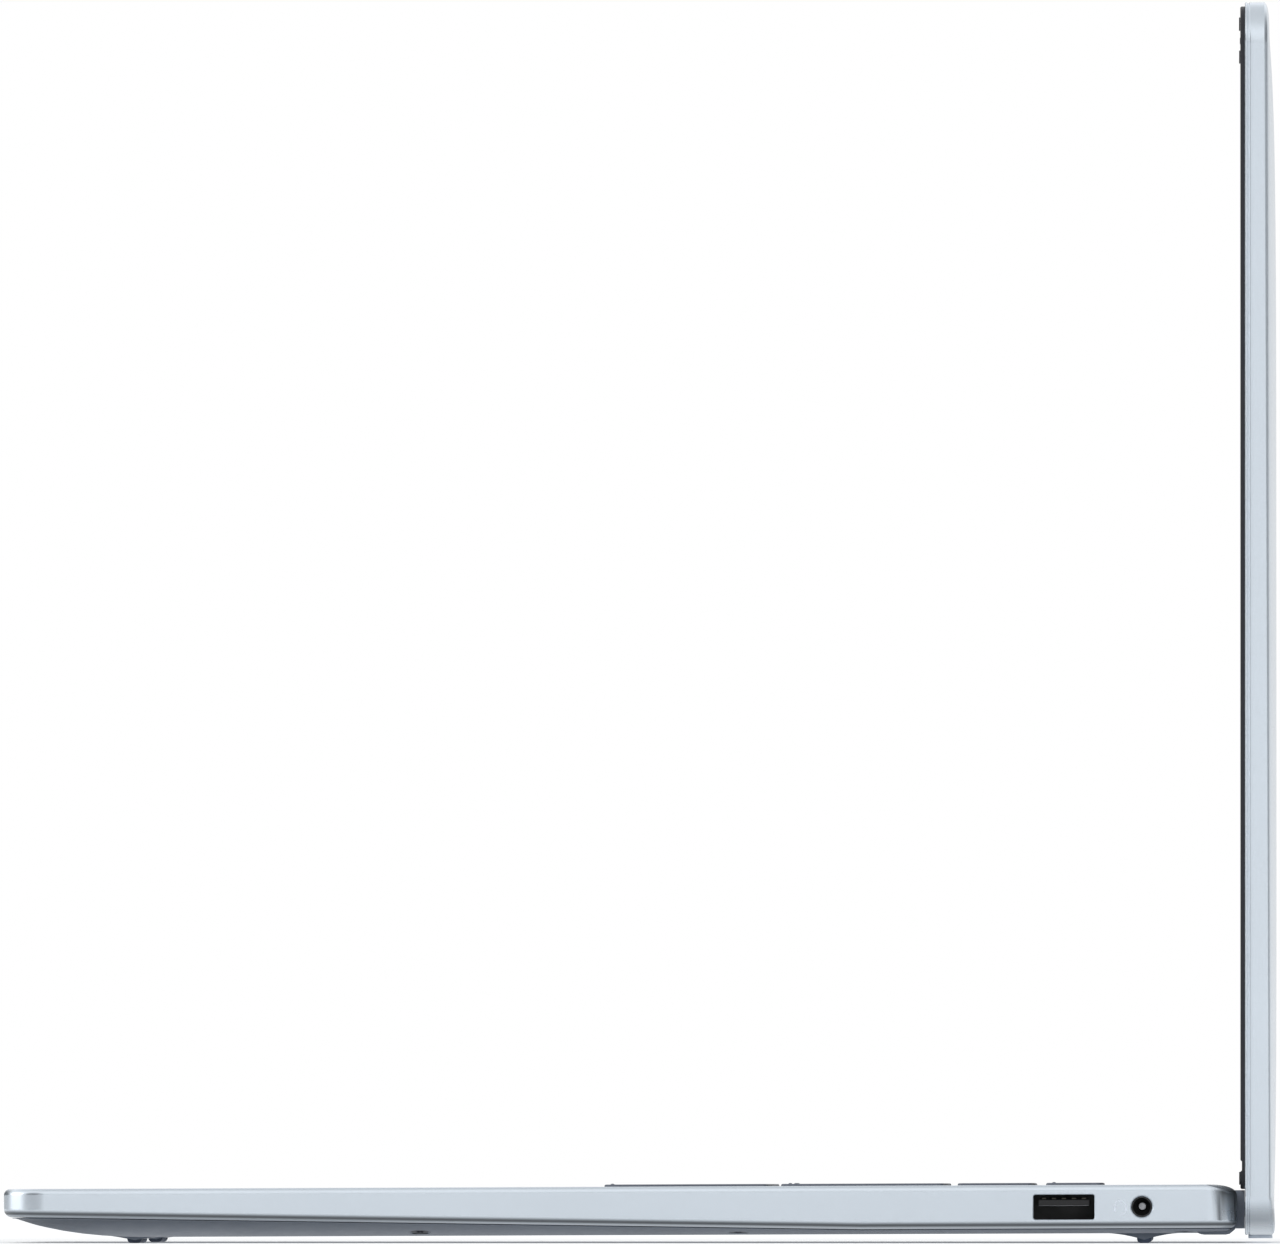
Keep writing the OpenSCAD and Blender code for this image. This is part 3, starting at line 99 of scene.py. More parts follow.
ON_BASE = Matrix.Translation((0, 0, FLOOR_GAP)) @ Matrix.Rotation(TILT, 4, "X")
ON_LID = Matrix.Translation((0, AXIS_Y, AXIS_Z)) @ Matrix.Rotation(math.pi / 2, 4, "X")


# ---------------------------------------------------------------- materials
class Nodes:
    """The node tree of a material or a world, with short calls."""

    def __init__(self, owner, output="OutputMaterial", coord="Object"):
        owner.use_nodes = True
        self.owner = owner
        self.tree = owner.node_tree
        self.tree.nodes.clear()
        self.out = self.add(output)
        self.coord = self.add("TexCoord").outputs[coord]

    def put(self, socket, value):
        """Link a socket to another's output, or set its number."""
        if isinstance(value, bpy.types.NodeSocket):
            self.tree.links.new(value, socket)
        else:
            socket.default_value = value

    def add(self, kind, *first, how=None, **inputs):
        """A new shader node. Its first sockets take the plain values in turn, and named ones theirs."""
        node = self.tree.nodes.new("ShaderNode" + kind)
        if how:
            node.operation = how
        for socket, value in zip(node.inputs, first):
            self.put(socket, value)
        for key, value in inputs.items():
            self.put(node.inputs[key.replace("_", " ")], value)
        return node

    def noise(self, scale, detail=3.0, rough=0.5, stretch=None):
        vector = self.coord
        if stretch:
            vector = self.add("Mapping", Vector=vector, Scale=stretch).outputs[0]
        return self.add("TexNoise", Vector=vector, Scale=scale, Detail=detail,
                        Roughness=rough).outputs["Fac"]

    def spread(self, value, low, high, a=0.3, b=0.7):
        """A value from a to b as one from low to high."""
        return self.add("MapRange", Value=value, From_Min=a, From_Max=b, To_Min=low,
                        To_Max=high).outputs["Result"]

    def math(self, how, a, b):
        return self.add("Math", a, b, how=how).outputs[0]

    def mix(self, fac, a, b):
        """A colour between a and b."""
        node = self.add("Mix")
        node.data_type = "RGBA"
        for index, value in ((0, fac), (6, a), (7, b)):
            self.put(node.inputs[index], value)
        return node.outputs[2]

    def bump(self, height, strength, distance):
        node = self.add("Bump", Height=height, Strength=strength, Distance=distance)
        return node.outputs["Normal"]

    def surface(self, shader):
        self.put(self.out.inputs["Surface"], shader.outputs[0])

    def finish(self, **inputs):
        self.surface(self.add("BsdfPrincipled", **inputs))
        return self.owner


def paint(name):
    return Nodes(bpy.data.materials.new(name))


def linear(rgb):
    """An sRGB colour, 0 to 255, as the linear colour that a shader takes."""
    out = []
    for c in rgb:
        c = c / 255
        out.append(c / 12.92 if c <= 0.04045 else ((c + 0.055) / 1.055) ** 2.4)
    return (*out, 1.0)


def shade(rgb, k):
    """The colour k times as light."""
    return linear([min(255, c * k) for c in rgb])


# painted shade: how dark the metal's colour goes where its shell is marked, and how much rougher it is there
PAINTED_SHADE_TONE, PAINTED_SHADE_BLUR = 0.44, 0.2


def metal(name, rgb, rough=0.25, metallic=0.8, grain=0.05, drift=0.006):
    """Blasted and anodised metal: a fine grain, a slow drift of tone, and painted shade: darker and a little
    rougher where its shell is marked as curling under or at a corner in shade.
    """
    n = paint(name)
    slow = n.noise(28, 2, 0.5)
    fine = n.noise(5200, 2, 0.6)
    colour = n.mix(n.spread(slow, 0, 1), shade(rgb, 1 - drift), shade(rgb, 1 + drift))
    colour = n.mix(n.spread(fine, 0, 0.35), colour, shade(rgb, 0.9))
    # painted shade: the colour goes towards the darker tone by the amount marked on the shell's points
    under = n.add("Attribute")
    under.attribute_name = "under"
    colour = n.mix(under.outputs["Fac"], colour, shade(rgb, PAINTED_SHADE_TONE))
    curled = n.spread(under.outputs["Fac"], 0, PAINTED_SHADE_BLUR)
    roughness = n.math("ADD", n.spread(n.noise(160, 3, 0.6), rough - 0.01, rough + 0.01), curled)
    return n.finish(Base_Color=colour, Metallic=metallic, Roughness=roughness,
                    Normal=n.bump(fine, grain, 0.00002))


def plastic(name, rgb, rough=0.5, grain=0.25, size=2600, drift=0.05, specular=0.5, fleck=0.3):
    """Moulded plastic with a spark-eroded grain."""
    n = paint(name)
    slow = n.noise(40, 2, 0.5)
    fine = n.noise(size, 4, 0.65)
    colour = n.mix(n.spread(slow, 0, 1), shade(rgb, 1 - drift), shade(rgb, 1 + drift))
    colour = n.mix(n.spread(fine, 0, fleck, 0.45, 0.7), colour, shade(rgb, 0.8))
    roughness = n.spread(n.noise(300, 3, 0.6), rough - 0.06, rough + 0.06)
    return n.finish(Base_Color=colour, Roughness=roughness, Specular_IOR_Level=specular,
                    Normal=n.bump(fine, grain, 0.00003))


def brushed(name, rgb, rough=0.3):
    """Rolled or turned metal with fine lines."""
    n = paint(name)
    lines = n.noise(1500, 3, 0.6, (1.0, 0.05, 1.0))
    colour = n.mix(n.spread(lines, 0, 1), shade(rgb, 0.88), shade(rgb, 1.05))
    return n.finish(Base_Color=colour, Metallic=1.0, Roughness=n.spread(lines, rough - 0.06, rough + 0.1),
                    Normal=n.bump(lines, 0.1, 0.00002))


def rubber(name, rgb):
    """Dull rubber with a little dust."""
    n = paint(name)
    fine = n.noise(1900, 4, 0.7)
    dust = n.noise(90, 3, 0.6)
    colour = n.mix(n.spread(dust, 0, 1, 0.45, 0.75), linear(rgb), shade(rgb, 1.5))
    return n.finish(Base_Color=colour, Roughness=n.spread(fine, 0.7, 0.9), Specular_IOR_Level=0.35,
                    Normal=n.bump(fine, 0.4, 0.00004))


def glass_black(name, rgb, rough, coat, specular=0.5):
    """Dark glass over a black layer, with faint wipe marks in its gloss."""
    n = paint(name)
    smear = n.noise(14, 3, 0.6, (1.0, 0.4, 1.0))
    colour = n.mix(n.spread(n.noise(30), 0, 1), linear(rgb), shade(rgb, 1.25))
    return n.finish(Base_Color=colour, Roughness=n.spread(smear, rough, rough + 0.05), Coat_Weight=coat,
                    Coat_Roughness=0.03, Specular_IOR_Level=specular)


def board(name, rgb):
    """A lacquered circuit board with faint tracks."""
    n = paint(name)
    traces = n.add("TexVoronoi", Vector=n.coord, Scale=420.0).outputs["Distance"]
    colour = n.mix(n.spread(traces, 0, 1, 0.2, 0.5), shade(rgb, 0.75), shade(rgb, 1.3))
    return n.finish(Base_Color=colour, Roughness=n.spread(traces, 0.35, 0.55),
                    Normal=n.bump(traces, 0.2, 0.00003))


SILVER = (218, 227, 236)
# After its name and colour, metal() takes roughness and share of metal, plastic() takes roughness, depth and
# size of grain, drift of tone, shine and fleck, and glass_black() takes roughness, coat and shine.
M = {}
for key, make, *how in (
        ("silver", metal, SILVER),
        ("deck", metal, SILVER, 0.42, 0.35),
        ("lid_silver", metal, SILVER),
        ("cover", plastic, (112, 120, 132), 0.42, 0.18, 3400, 0.03),
        ("key", plastic, (92, 98, 110), 0.46, 0.14, 5200, 0.03),
        ("power", plastic, (98, 104, 116), 0.42, 0.1, 5200, 0.03),
        ("legend", plastic, (232, 236, 242), 0.5, 0.05, 6000, 0.01),
        ("pad", plastic, (194, 203, 215), 0.36, 0.0, 900, 0.01, 0.5, 0.0),
        ("bezel", plastic, (22, 25, 33), 0.5, 0.22, 3600, 0.05),
        ("hinge", plastic, (160, 168, 182), 0.4, 0.12, 4200, 0.04),
        ("foot_strip", plastic, (196, 204, 216), 0.5, 0.15, 3600, 0.04),
        ("glass", glass_black, (8, 9, 12), 0.22, 0.0, 0.3),
        ("mask", glass_black, (4, 4, 6), 0.25, 0.0, 0.3),
        ("lens", glass_black, (6, 8, 16), 0.03, 1.0),
        ("rubber", rubber, (58, 66, 80)),
        ("bumper", rubber, (36, 38, 43)),
        ("steel", brushed, (176, 178, 182)),
        ("dark_steel", brushed, (58, 62, 70), 0.36),
        ("copper", brushed, (196, 128, 96), 0.34),
        ("gold", brushed, (222, 190, 120), 0.28),
        ("spring", brushed, (120, 116, 108), 0.4),
        ("port", plastic, (12, 13, 17), 0.45, 0.1, 5000, 0.05),
        ("gloss", glass_black, (14, 16, 20), 0.1, 0.6),
        ("tongue", plastic, (244, 247, 252), 0.4, 0.1, 5000, 0.04),
        ("board", board, (24, 74, 52)),
        ("chip", plastic, (28, 29, 32), 0.45, 0.12, 3000, 0.05),
        ("battery", plastic, (38, 40, 46), 0.5, 0.2, 900, 0.08),
        ("inner", plastic, (46, 49, 55), 0.55, 0.2, 2600, 0.05),
        ("plate", brushed, (120, 124, 132), 0.4),
        ("sign", plastic, (232, 240, 250), 0.5, 0.05, 6000, 0.01)):
    M[key] = make(key + "_look", *how)


# ---------------------------------------------------------------- mesh helpers
def link(name, data):
    """A new object in the scene."""
    ob = bpy.data.objects.new(name, data)
    bpy.context.scene.collection.objects.link(ob)
    return ob


def to_object(name, bm, mats=(), place=None):
    """An object from a bmesh, in metres, and from millimetres in a frame where a place is given."""
    if place is not None:
        bm.transform(Matrix.Scale(MM, 4) @ place)
    me = bpy.data.meshes.new(name)
    bm.to_mesh(me)
    bm.free()
    for key in mats:
        me.materials.append(M[key])
    return link(name, me)


def build(name, place, bm, mats, angle=30):
    """An object from a bmesh in millimetres, with its points merged and its normals made to agree."""
    bmesh.ops.remove_doubles(bm, verts=bm.verts, dist=1e-5)
    bmesh.ops.dissolve_degenerate(bm, edges=bm.edges, dist=1e-6)
    bmesh.ops.recalc_face_normals(bm, faces=bm.faces)
    ob = to_object(name, bm, mats, place)
    dress(ob, angle)
    return ob


def hang(ob, body, slot, *nodes):
    """Let an object ride on a body, in place of CAD nodes. Its slot is not used."""
    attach(ob, body)
    if nodes:
        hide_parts(*nodes)


def dress(ob, angle=30):
    ob.data.shade_smooth()
    ob.data.set_sharp_from_angle(angle=math.radians(angle))


def carve(ob, *tools):
    """Cut an object with tools, and weight its normals by the size of its faces."""
    cut(ob, tools)
    dress(ob)
    m = ob.modifiers.new("normals", "WEIGHTED_NORMAL")
    m.keep_sharp = True
    settle(ob)


def settle(ob):
    """Apply an object's modifiers."""
    bpy.context.view_layer.update()
    shape = ob.evaluated_get(bpy.context.evaluated_depsgraph_get())
    me = bpy.data.meshes.new_from_object(shape)
    ob.modifiers.clear()
    ob.data = me


def spots(ob, place):
    """An object's points in millimetres, in the frame of the base or the lid."""
    back = (Matrix.Scale(MM, 4) @ place).inverted()
    return [back @ v.co for v in ob.data.vertices]


def true_normals(ob, place, normals_at, reach=22):
    """Give each face corner that lies on a known surface that surface's own normal."""
    turn = place.to_3x3()
    limit = math.cos(math.radians(reach))
    me = ob.data
    known = [[turn @ Vector(n).normalized() for n in normals_at(*spot)] for spot in spots(ob, place)]
    normals = [tuple(n.vector) for n in me.corner_normals]
    for face in me.polygons:
        for k in face.loop_indices:
            for n in known[me.loops[k].vertex_index]:
                if n.dot(face.normal) > limit:
                    normals[k] = tuple(n)
                    break
    me.normals_split_custom_set(normals)


def paint_shade_mark(ob, place, amount):
    """Mark how much painted shade each point of a metal shell gets, for the material to darken its colour
    there.
    """
    mark = ob.data.attributes.new("under", "FLOAT", "POINT")
    mark.data.foreach_set("value", [amount(*spot) for spot in spots(ob, place)])


def case_shade_amount(x, y, z):
    """Painted shade on the top shell: deepest half-way down the lower rounding, less at its lip, and deep on
    the rear corners.
    """
    low_edge = parting(y) + LOW_ROUND
    if z > low_edge:
        return ramp(y, REAR - 5.6, REAR - 3) * ramp(z, BASE_T - 0.3, BASE_T - 1.5)
    down = (low_edge - z) / LOW_ROUND
    return ramp(down, 0.05, 0.41) - 0.6 * ramp(down, 0.6, 0.78)


def lid_shade_amount(x, y, z):
    """Painted shade on the lid's foot corners: deepest a little above their lowest line."""
    up = y - LID_LOW
    corner = ramp(abs(x), HALF - LID_CORNER_FOOT, HALF - 3)
    return corner * (0.5 * ramp(up, 7.4, 4.4) - 0.32 * ramp(up, 3, 1))


def case_normals(x, y, z, near=0.003):
    """The normals of the base's flat sides that a point of its top shell lies on."""
    sides = ((BASE_T - z, (0, 0, 1)), (HALF - abs(x), (math.copysign(1, x), 0, 0)),
             (y - FRONT, (0, -1, 0)), (REAR - y, (0, 1, 0)))
    return [normal for away, normal in sides if away < near]


def slope(height, x, y, e=0.02):
    """A surface's slope along x and along y."""
    return ((height(x + e, y) - height(x - e, y)) / (2 * e),
            (height(x, y + e) - height(x, y - e)) / (2 * e))


def cover_normals(x, y, z):
    """The normal of the bottom cover's outer face, at a point on it."""
    if abs(z - cover_low(x, y)) < 0.02 and half_at(y) - 1.3 > abs(x):
        dx, dy = slope(cover_low, x, y)
        return [(dx, dy, -1)]
    return []


def lid_inset(x, y):
    """Distance from a point of the lid to its rounded outline."""
    r = LID_CORNER if y > LID_HIGH / 2 else LID_CORNER_FOOT
    dx = HALF - abs(x)
    dy = LID_HIGH - y if y > LID_HIGH / 2 else y - LID_LOW
    if dx < r and dy < r:
        return r - math.hypot(r - dx, r - dy)
    return min(dx, dy)


def lid_back(x, y):
    return crown(x, y, lid_inset(x, y), 0)


def lid_normals(x, y, z):
    """The normal of the lid's crowned back, at a point on it."""
    if lid_inset(x, y) > 9 and abs(-z - LID_PLANE - lid_back(x, y)) < 0.03:
        dx, dy = slope(lid_back, x, y, 0.5)
        return [(-dx, -dy, -1)]
    return []


def cut(ob, tools, how="DIFFERENCE"):
    """Boolean ob with each tool in turn, and drop the tools."""
    for cutter in tools:
        m = ob.modifiers.new("cut", "BOOLEAN")
        m.operation, m.solver, m.object = how, "EXACT", cutter
        settle(ob)
        bpy.data.objects.remove(cutter)


def cast(name, place, prisms, mats, angle=30):
    """An object from prisms, each given as outline, levels and place."""
    bm = bmesh.new()
    for spec in prisms:
        prism(bm, *spec)
    return build(name, place, bm, mats, angle)


def tool(prisms, place=ON_BASE):
    return cast("cutter", place, prisms, [])


def skin(bm, rows, closed=True):
    """Quads between loops of points; returns the rows of vertices."""
    made = [[bm.verts.new(p) for p in row] for row in rows]
    for a, b in zip(made, made[1:]):
        n = len(a)
        for i in range(n if closed else n - 1):
            j = (i + 1) % n
            bm.faces.new((a[i], a[j], b[j], b[i]))
    return made


def close_ends(bm, rows):
    bm.faces.new(rows[0][::-1])
    bm.faces.new(rows[-1])


def across(bm, row):
    """Close a symmetric loop by strips from its right half to its left half."""
    n = len(row) // 2
    for i in range(n - 1):
        bm.faces.new((row[i], row[i + 1], row[2 * n - 2 - i], row[2 * n - 1 - i]))


def hull(rows):
    """A closed skin between symmetric loops."""
    bm = bmesh.new()
    made = skin(bm, rows)
    across(bm, made[0])
    across(bm, made[-1])
    return bm


def clamp(t):
    return min(1.0, max(0.0, t))


def between(a, b, t):
    return a + (b - a) * t


def ramp(value, a, b):
    """0 at a and before it, 1 at b and past it."""
    return clamp((value - a) / (b - a))


def spaced(n, pitch):
    """Places of n things in a row about its middle."""
    return [(i - (n - 1) / 2) * pitch for i in range(n)]


def arc(start, end, n):
    """Cosine and sine at n + 1 angles, given in degrees."""
    turns = [math.radians(between(start, end, i / n)) for i in range(n + 1)]
    return [(math.cos(a), math.sin(a)) for a in turns]


def quarter(x, y, rx, ry, start, n):
    """A quarter of an ellipse about x, y, from an angle in degrees."""
    return [(x + rx * c, y + ry * s) for c, s in arc(start, start + 90, n)]


def rect_loop(w, d, r, n=6):
    """A rounded rectangle about the origin; r may be a pair, for its far and its near corners."""
    pair = r if isinstance(r, tuple) else (r, r)
    out = []
    for k, (sx, sy) in enumerate(((1, 1), (-1, 1), (-1, -1), (1, -1))):
        r = min(pair[k // 2], w / 2 - 1e-3, d / 2 - 1e-3)
        out += quarter(sx * (w / 2 - r), sy * (d / 2 - r), r, r, 90 * k, n)
    return out


def prism(bm, outline, levels, to):
    """Skin between copies of an outline. levels are (height, grow); outline(grow) gives the loop."""
    close_ends(bm, skin(bm, [[to(u, v, h) for u, v in outline(g)] for h, g in levels]))


def flat(x, y):
    return lambda u, v, h: (x + u, y + v, h)


def along_x(y, z):
    return lambda u, v, h: (h, y + u, z + v)


def along_y(x, z):
    return lambda u, v, h: (x + u, h, z + v)


def rounded(w, d, r, n=6):
    return lambda g: rect_loop(w + 2 * g, d + 2 * g, max(r + g, 0.05), n)


def disc(r, n=40):
    return lambda g: [((r + g) * c, (r + g) * s) for c, s in arc(0, 360, n)[:-1]]


def spin(bm, profile, to, n=40):
    """A turned piece: profile is (radius, height)."""
    skin(bm, [[to(u, v, h) for u, v in disc(r, n)(0)] for r, h in profile])


# ---------------------------------------------------------------- base shells
def parting(y):
    """Height of the line between top case and bottom cover."""
    return between(PART_REAR, PART_FRONT, ramp(y, PART_END, FRONT))


def top_drop(y):
    """Depth of the rounding round the deck."""
    side = between(SIDE_DROP, FRONT_ROUND, ramp(y, FRONT + CORNER_F, FRONT))
    return between(side, REAR_DROP, ramp(y, REAR - CORNER_R, REAR))


def dish(y):
    """Height of the bottom cover along its middle, which sweeps up at the front."""
    return (PART_FRONT - 0.2) * ramp(y, FRONT + DISH_RUN, FRONT + LOW_FRONT) ** DISH_POWER


def corner_cut(d, r):
    """How far a corner of radius r stands back at distance d from its end."""
    return 0 if d >= r else r - math.sqrt(max(0, r * r - (r - d) ** 2))


def half_at(y):
    """Half the base's width."""
    return HALF - corner_cut(max(0, y - FRONT), CORNER_F) - corner_cut(max(0, REAR - y), CORNER_R)


def cover_low(x, y):
    """Height of the bottom cover's outer face."""
    t = clamp((half_at(y) - LOW_SIDE - abs(x)) / SIDE_RUN)
    return dish(y) + (parting(y) - dish(y)) * (1 - t) ** 2


# where the loops have points along the straight sides: close together where the cover sweeps up
STATIONS = [-118, -114, -110, -106, -102, -98, -92, -84, -70, -50, -30, -10, 10, 30, 45, 60, 80, 100, 110]


def plan(side, front, rear, n=14):
    """The right half of the base's plan outline from front to rear, inset at the side, front and rear."""
    ahead = quarter(HALF - CORNER_F, FRONT + CORNER_F, CORNER_F - side, CORNER_F - front, -90, n)
    behind = quarter(HALF - CORNER_R, REAR - CORNER_R, CORNER_R - side, CORNER_R - rear, 0, n)
    return ahead + [(HALF - side, y) for y in STATIONS] + behind


def inner_plan(side, front, rear, r=1.0, n=14):
    """As plan(), for a loop well inside the outline, with small corners of its own."""
    x, low, high = HALF - side - r, FRONT + front + r, REAR - rear - r
    return quarter(x, low, r, r, -90, n) + [(x + r, y) for y in STATIONS] + quarter(x, high, r, r, 0, n)


def both(half, z):
    """A closed symmetric loop from its right half, with height z(x, y)."""
    return [(x, y, z(x, y)) for x, y in half] + [(-x, y, z(x, y)) for x, y in reversed(half)]


def key_list():
    """Each key: group, x and y of its middle, width, depth, legends (text, size, dx, dy).

    An arrow's size is its turn in degrees, and a word's dx of -1 or 1 sets it against that side.
    """
    keys = []
    letter, digit, symbol, word, short_word = 3.7, 3.2, 3.0, 2.35, 2.2

    def add(group, x, y, w, d, *legends):
        keys.append((group, x + w / 2, y + d / 2, w, d, legends))

    def row(group, units, start, index, depth, names):
        """Keys side by side. Two spaces part their names, and a pair of signs stands one over the other."""
        at = start
        for unit, name in zip(units, names.split("  ")):
            add(group, KEY_X0 + at * PITCH, KEY_Y0 + index * PITCH, unit * PITCH - KEY_GAP, depth,
                *legend(name, unit * PITCH - KEY_GAP, depth))
            at += unit

    def legend(name, w, d):
        if not name:
            return []
        if len(name) == 2 and not name.isalnum():
            upper, lower = name
            dx, dy = 4.4 - w / 2, d / 2 - 4.4
            return [(upper, symbol, dx, dy), (lower, symbol, dx, -dy)]
        if len(name) == 1:
            return [(name, letter, 4.6 - w / 2, d / 2 - 4.8)]
        side = -1 if name in LEFT_WORDS else 1 if name in RIGHT_WORDS else 0
        return [(name, word, side, 4.2 - d / 2 if side else 0)]

    row("keys_bottom", (1.25, 1, 1, 1), 0, 0, KEY_D, "ctrl  fn  start  alt")
    row("space_bar", (5.75,), 4.25, 0, KEY_D, "")
    row("keys_bottom", (1, 1), 10, 0, KEY_D, "alt  ctrl")
    row("keys_lower", (2.25,) + (1,) * 10 + (2.75,), 0, 1, KEY_D,
        "shift  Z  X  C  V  B  N  M  <,  >.  ?/  shift ")
    row("keys_home", (1.75,) + (1,) * 11 + (2.25,), 0, 2, KEY_D,
        "caps lock  A  S  D  F  G  H  J  K  L  :;  \"'  enter")
    row("keys_upper", (1.5,) + (1,) * 12 + (1.5,), 0, 3, KEY_D,
        "tab  Q  W  E  R  T  Y  U  I  O  P  {[  }]  |\\")
    row("keys_number", (1,) * 13 + (2,), 0, 4, KEY_D,
        "~`  !1  @2  #3  $4  %5  ^6  &7  *8  (9  )0  _-  +=  backspace")
    row("keys_function", (1,) * 15, 0, 5, FUNCTION_D,
        "esc  F1  F2  F3  F4  F5  F6  F7  F8  F9  F10  F11  F12  ins  del")
    for c, name in enumerate(("home", "end", "pgup")):
        add("keys_function", PAD_X0 + c * PAD_PITCH, KEY_Y0 + 5 * PITCH, PAD_PITCH - KEY_GAP, FUNCTION_D,
            (name, short_word, 0, 0))
    add("power_button", PAD_X0 + 3 * PAD_PITCH, KEY_Y0 + 5 * PITCH, PAD_PITCH - KEY_GAP, FUNCTION_D)
    arrow_d = (KEY_D - ARROW_GAP) / 2
    for c, step, turn in ((0, 0, 90), (1, 0, 180), (2, 0, -90), (1, 1, 0)):
        add("arrow_keys", KEY_X0 + (12 + c) * PITCH, KEY_Y0 + step * (arrow_d + ARROW_GAP),
            PITCH - KEY_GAP, arrow_d, ("arrow", turn, 0, 0))

    def pad(group, c, r, columns, rows, name, size=digit):
        w, d = columns * PAD_PITCH - KEY_GAP, rows * PITCH - KEY_GAP
        add(group, PAD_X0 + c * PAD_PITCH, KEY_Y0 + r * PITCH, w, d,
            (name, size, 0, 0) if rows == 2 or len(name) > 1 else (name, size, 0, 1.2))

    for c, name in enumerate(("num", "/", "*", "-")):
        pad("numpad_keys", c, 4, 1, 1, name, 2.3 if len(name) > 1 else 3.4)
    for r, names in ((3, "789"), (2, "456"), (1, "123")):
        for c, name in enumerate(names):
            pad("numpad_keys", c, r, 1, 1, name)
    pad("numpad_keys", 0, 0, 2, 1, "0")
    pad("numpad_keys", 2, 0, 1, 1, ".")
    pad("numpad_plus_key", 3, 2, 1, 2, "+", 3.8)
    pad("numpad_enter_key", 3, 0, 1, 2, "enter", short_word)
    return keys


LEFT_WORDS = ("caps lock", "shift", "tab")
RIGHT_WORDS = ("enter", "backspace", "shift ")
KEYS = key_list()


def hole_tool(low, high, chamfer=0.14):
    """Key and touchpad holes with a small chamfer at the deck."""
    levels = [(low, 0), (BASE_T - chamfer, 0), (high, high - BASE_T + chamfer)]
    keys = [(rounded(w + 2 * KEY_CLEAR, d + 2 * KEY_CLEAR, KEY_R + KEY_CLEAR), levels, flat(x, y))
            for _, x, y, w, d, _ in KEYS]
    return tool(keys + [(rounded(PAD_W + 0.6, PAD_D + 0.6, 3.0, 10), levels, flat(PAD_X, PAD_Y))])


def notch_tool():
    """Room for the hinge covers: round ahead of the knuckle, then open to the rear."""
    reach = 20
    round_part = [(HINGE_Y + NOTCH_R * c, HINGE_H + NOTCH_R * s) for c, s in arc(180, 225, 15)]
    (y, z), run = round_part[-1], reach * math.sqrt(0.5)
    top = HINGE_H + reach
    outline = round_part + [(y + run, z - run), (y + run, top), (HINGE_Y - NOTCH_R, top)]
    starts = [s * HINGE_X - NOTCH_W / 2 for s in (-1, 1)]
    return tool([(lambda g: outline, [(x, 0), (x + NOTCH_W, 0)], along_x(0, 0)) for x in starts])


def port_tool():
    """The sockets' openings in the side walls and the air outlets at the rear, with fine chamfers."""
    inside = HALF - WALL - 1
    right = [(inside, 0), (HALF - 0.16, 0), (HALF + 0.5, 0.66)]
    left = [(-h, g) for h, g in right]
    rear = [(REAR - 6, 0), (REAR - 0.1, 0), (REAR + 0.4, 0.5)]
    ports = [(rounded(*USB_SIZE, 0.45), right, along_x(USB_Y, PORT_Z)),
             (disc(JACK_R), [(inside, 0), (HALF - 0.24, 0), (HALF + 0.5, 0.74)], along_x(JACK_Y, PORT_Z)),
             (rounded(*HDMI_SIZE, 0.6), left, along_x(HDMI_Y, PORT_Z))]
    ports += [(rounded(*USBC_SIZE, 1.6, 10), left, along_x(y, PORT_Z)) for y in USBC_Y]
    return tool(ports + [(rounded(*AIR_SIZE, 1.0), rear, along_y(s * FAN_X + x, HINGE_H))
                         for s in (-1, 1) for x in spaced(AIR_SLOTS, AIR_PITCH)])


def cavity_tool():
    """The room inside the top shell, less a block of wall ahead of each hinge notch."""
    low, high, wall, length = -3, BASE_T - DECK_T, 1.6, 40
    room = tool([(rounded(2 * (HALF - WALL), DEPTH - 2 * WALL, 4.2, 8), [(low, 0), (high, 0)],
                  flat(0, (FRONT + REAR) / 2))])
    cut(room, [tool([(rounded(NOTCH_W + 2 * wall, length, 0.4), [(low - 1, 0), (high + 1, 0)],
                      flat(s * HINGE_X, HINGE_Y - NOTCH_R - wall + length / 2)) for s in (-1, 1)])])
    return room


def make_top_shell():
    rows = []
    for c, s in arc(0, 90, 12):
        half = plan(SIDE_ROUND * (1 - s), FRONT_ROUND * (1 - s), REAR_DEPTH * (1 - s))
        rows.append(both(half, lambda x, y: BASE_T - top_drop(y) * (1 - c)))
    for c, s in arc(0, LOW_TURN, 11):
        half = plan(LOW_SIDE * (1 - c), LOW_FRONT * (1 - c), LOW_REAR * (1 - c))
        rows.append(both(half, lambda x, y: parting(y) + LOW_ROUND * (1 - s)))
    shell = build("base_top_shell", ON_BASE, hull(rows), ["silver", "deck"])
    carve(shell, cavity_tool(), hole_tool(BASE_T - DECK_T - 1.5, BASE_T + 0.4), notch_tool(), port_tool())
    for face in shell.data.polygons:
        face.material_index = int(face.normal.z > 0.9999 and face.center.z > BASE_T * MM)
    true_normals(shell, ON_BASE, case_normals)
    # painted shade on the lower rounding and the rear corners
    paint_shade_mark(shell, ON_BASE, case_shade_amount)
    hang(shell, "base", "silver_metal", "top_case")


def blend(a, b, t):
    """A half outline between two others."""
    return [(between(p[0], q[0], t), between(p[1], q[1], t)) for p, q in zip(a, b)]


def cover_rows():
    """Loops of the bottom cover: its inner face, its edge on the parting line, and its outer face."""
    inner = inner_plan(SIDE_RUN + LOW_SIDE, CORNER_F - 1, CORNER_R - 0.6)
    outer, rim, start = plan(1.15, 1.7, 1.5), plan(4.0, 4.6, 4.2), plan(4.4, 5.0, 4.6)

    def edge(x, y):
        return parting(y) - SEAM / 2

    rows = []
    for i in range(8):
        rows.append(both(blend(start, inner, 1 - i / 7), lambda x, y: cover_low(x, y) + COVER_T))
    rows += [both(rim, edge), both(outer, edge)]
    for i in range(19):
        half = blend(outer, inner, (i / 18) ** 1.3)
        rows.append(both(half, lambda x, y: min(cover_low(x, y), edge(x, y) - 0.12)))
    return rows


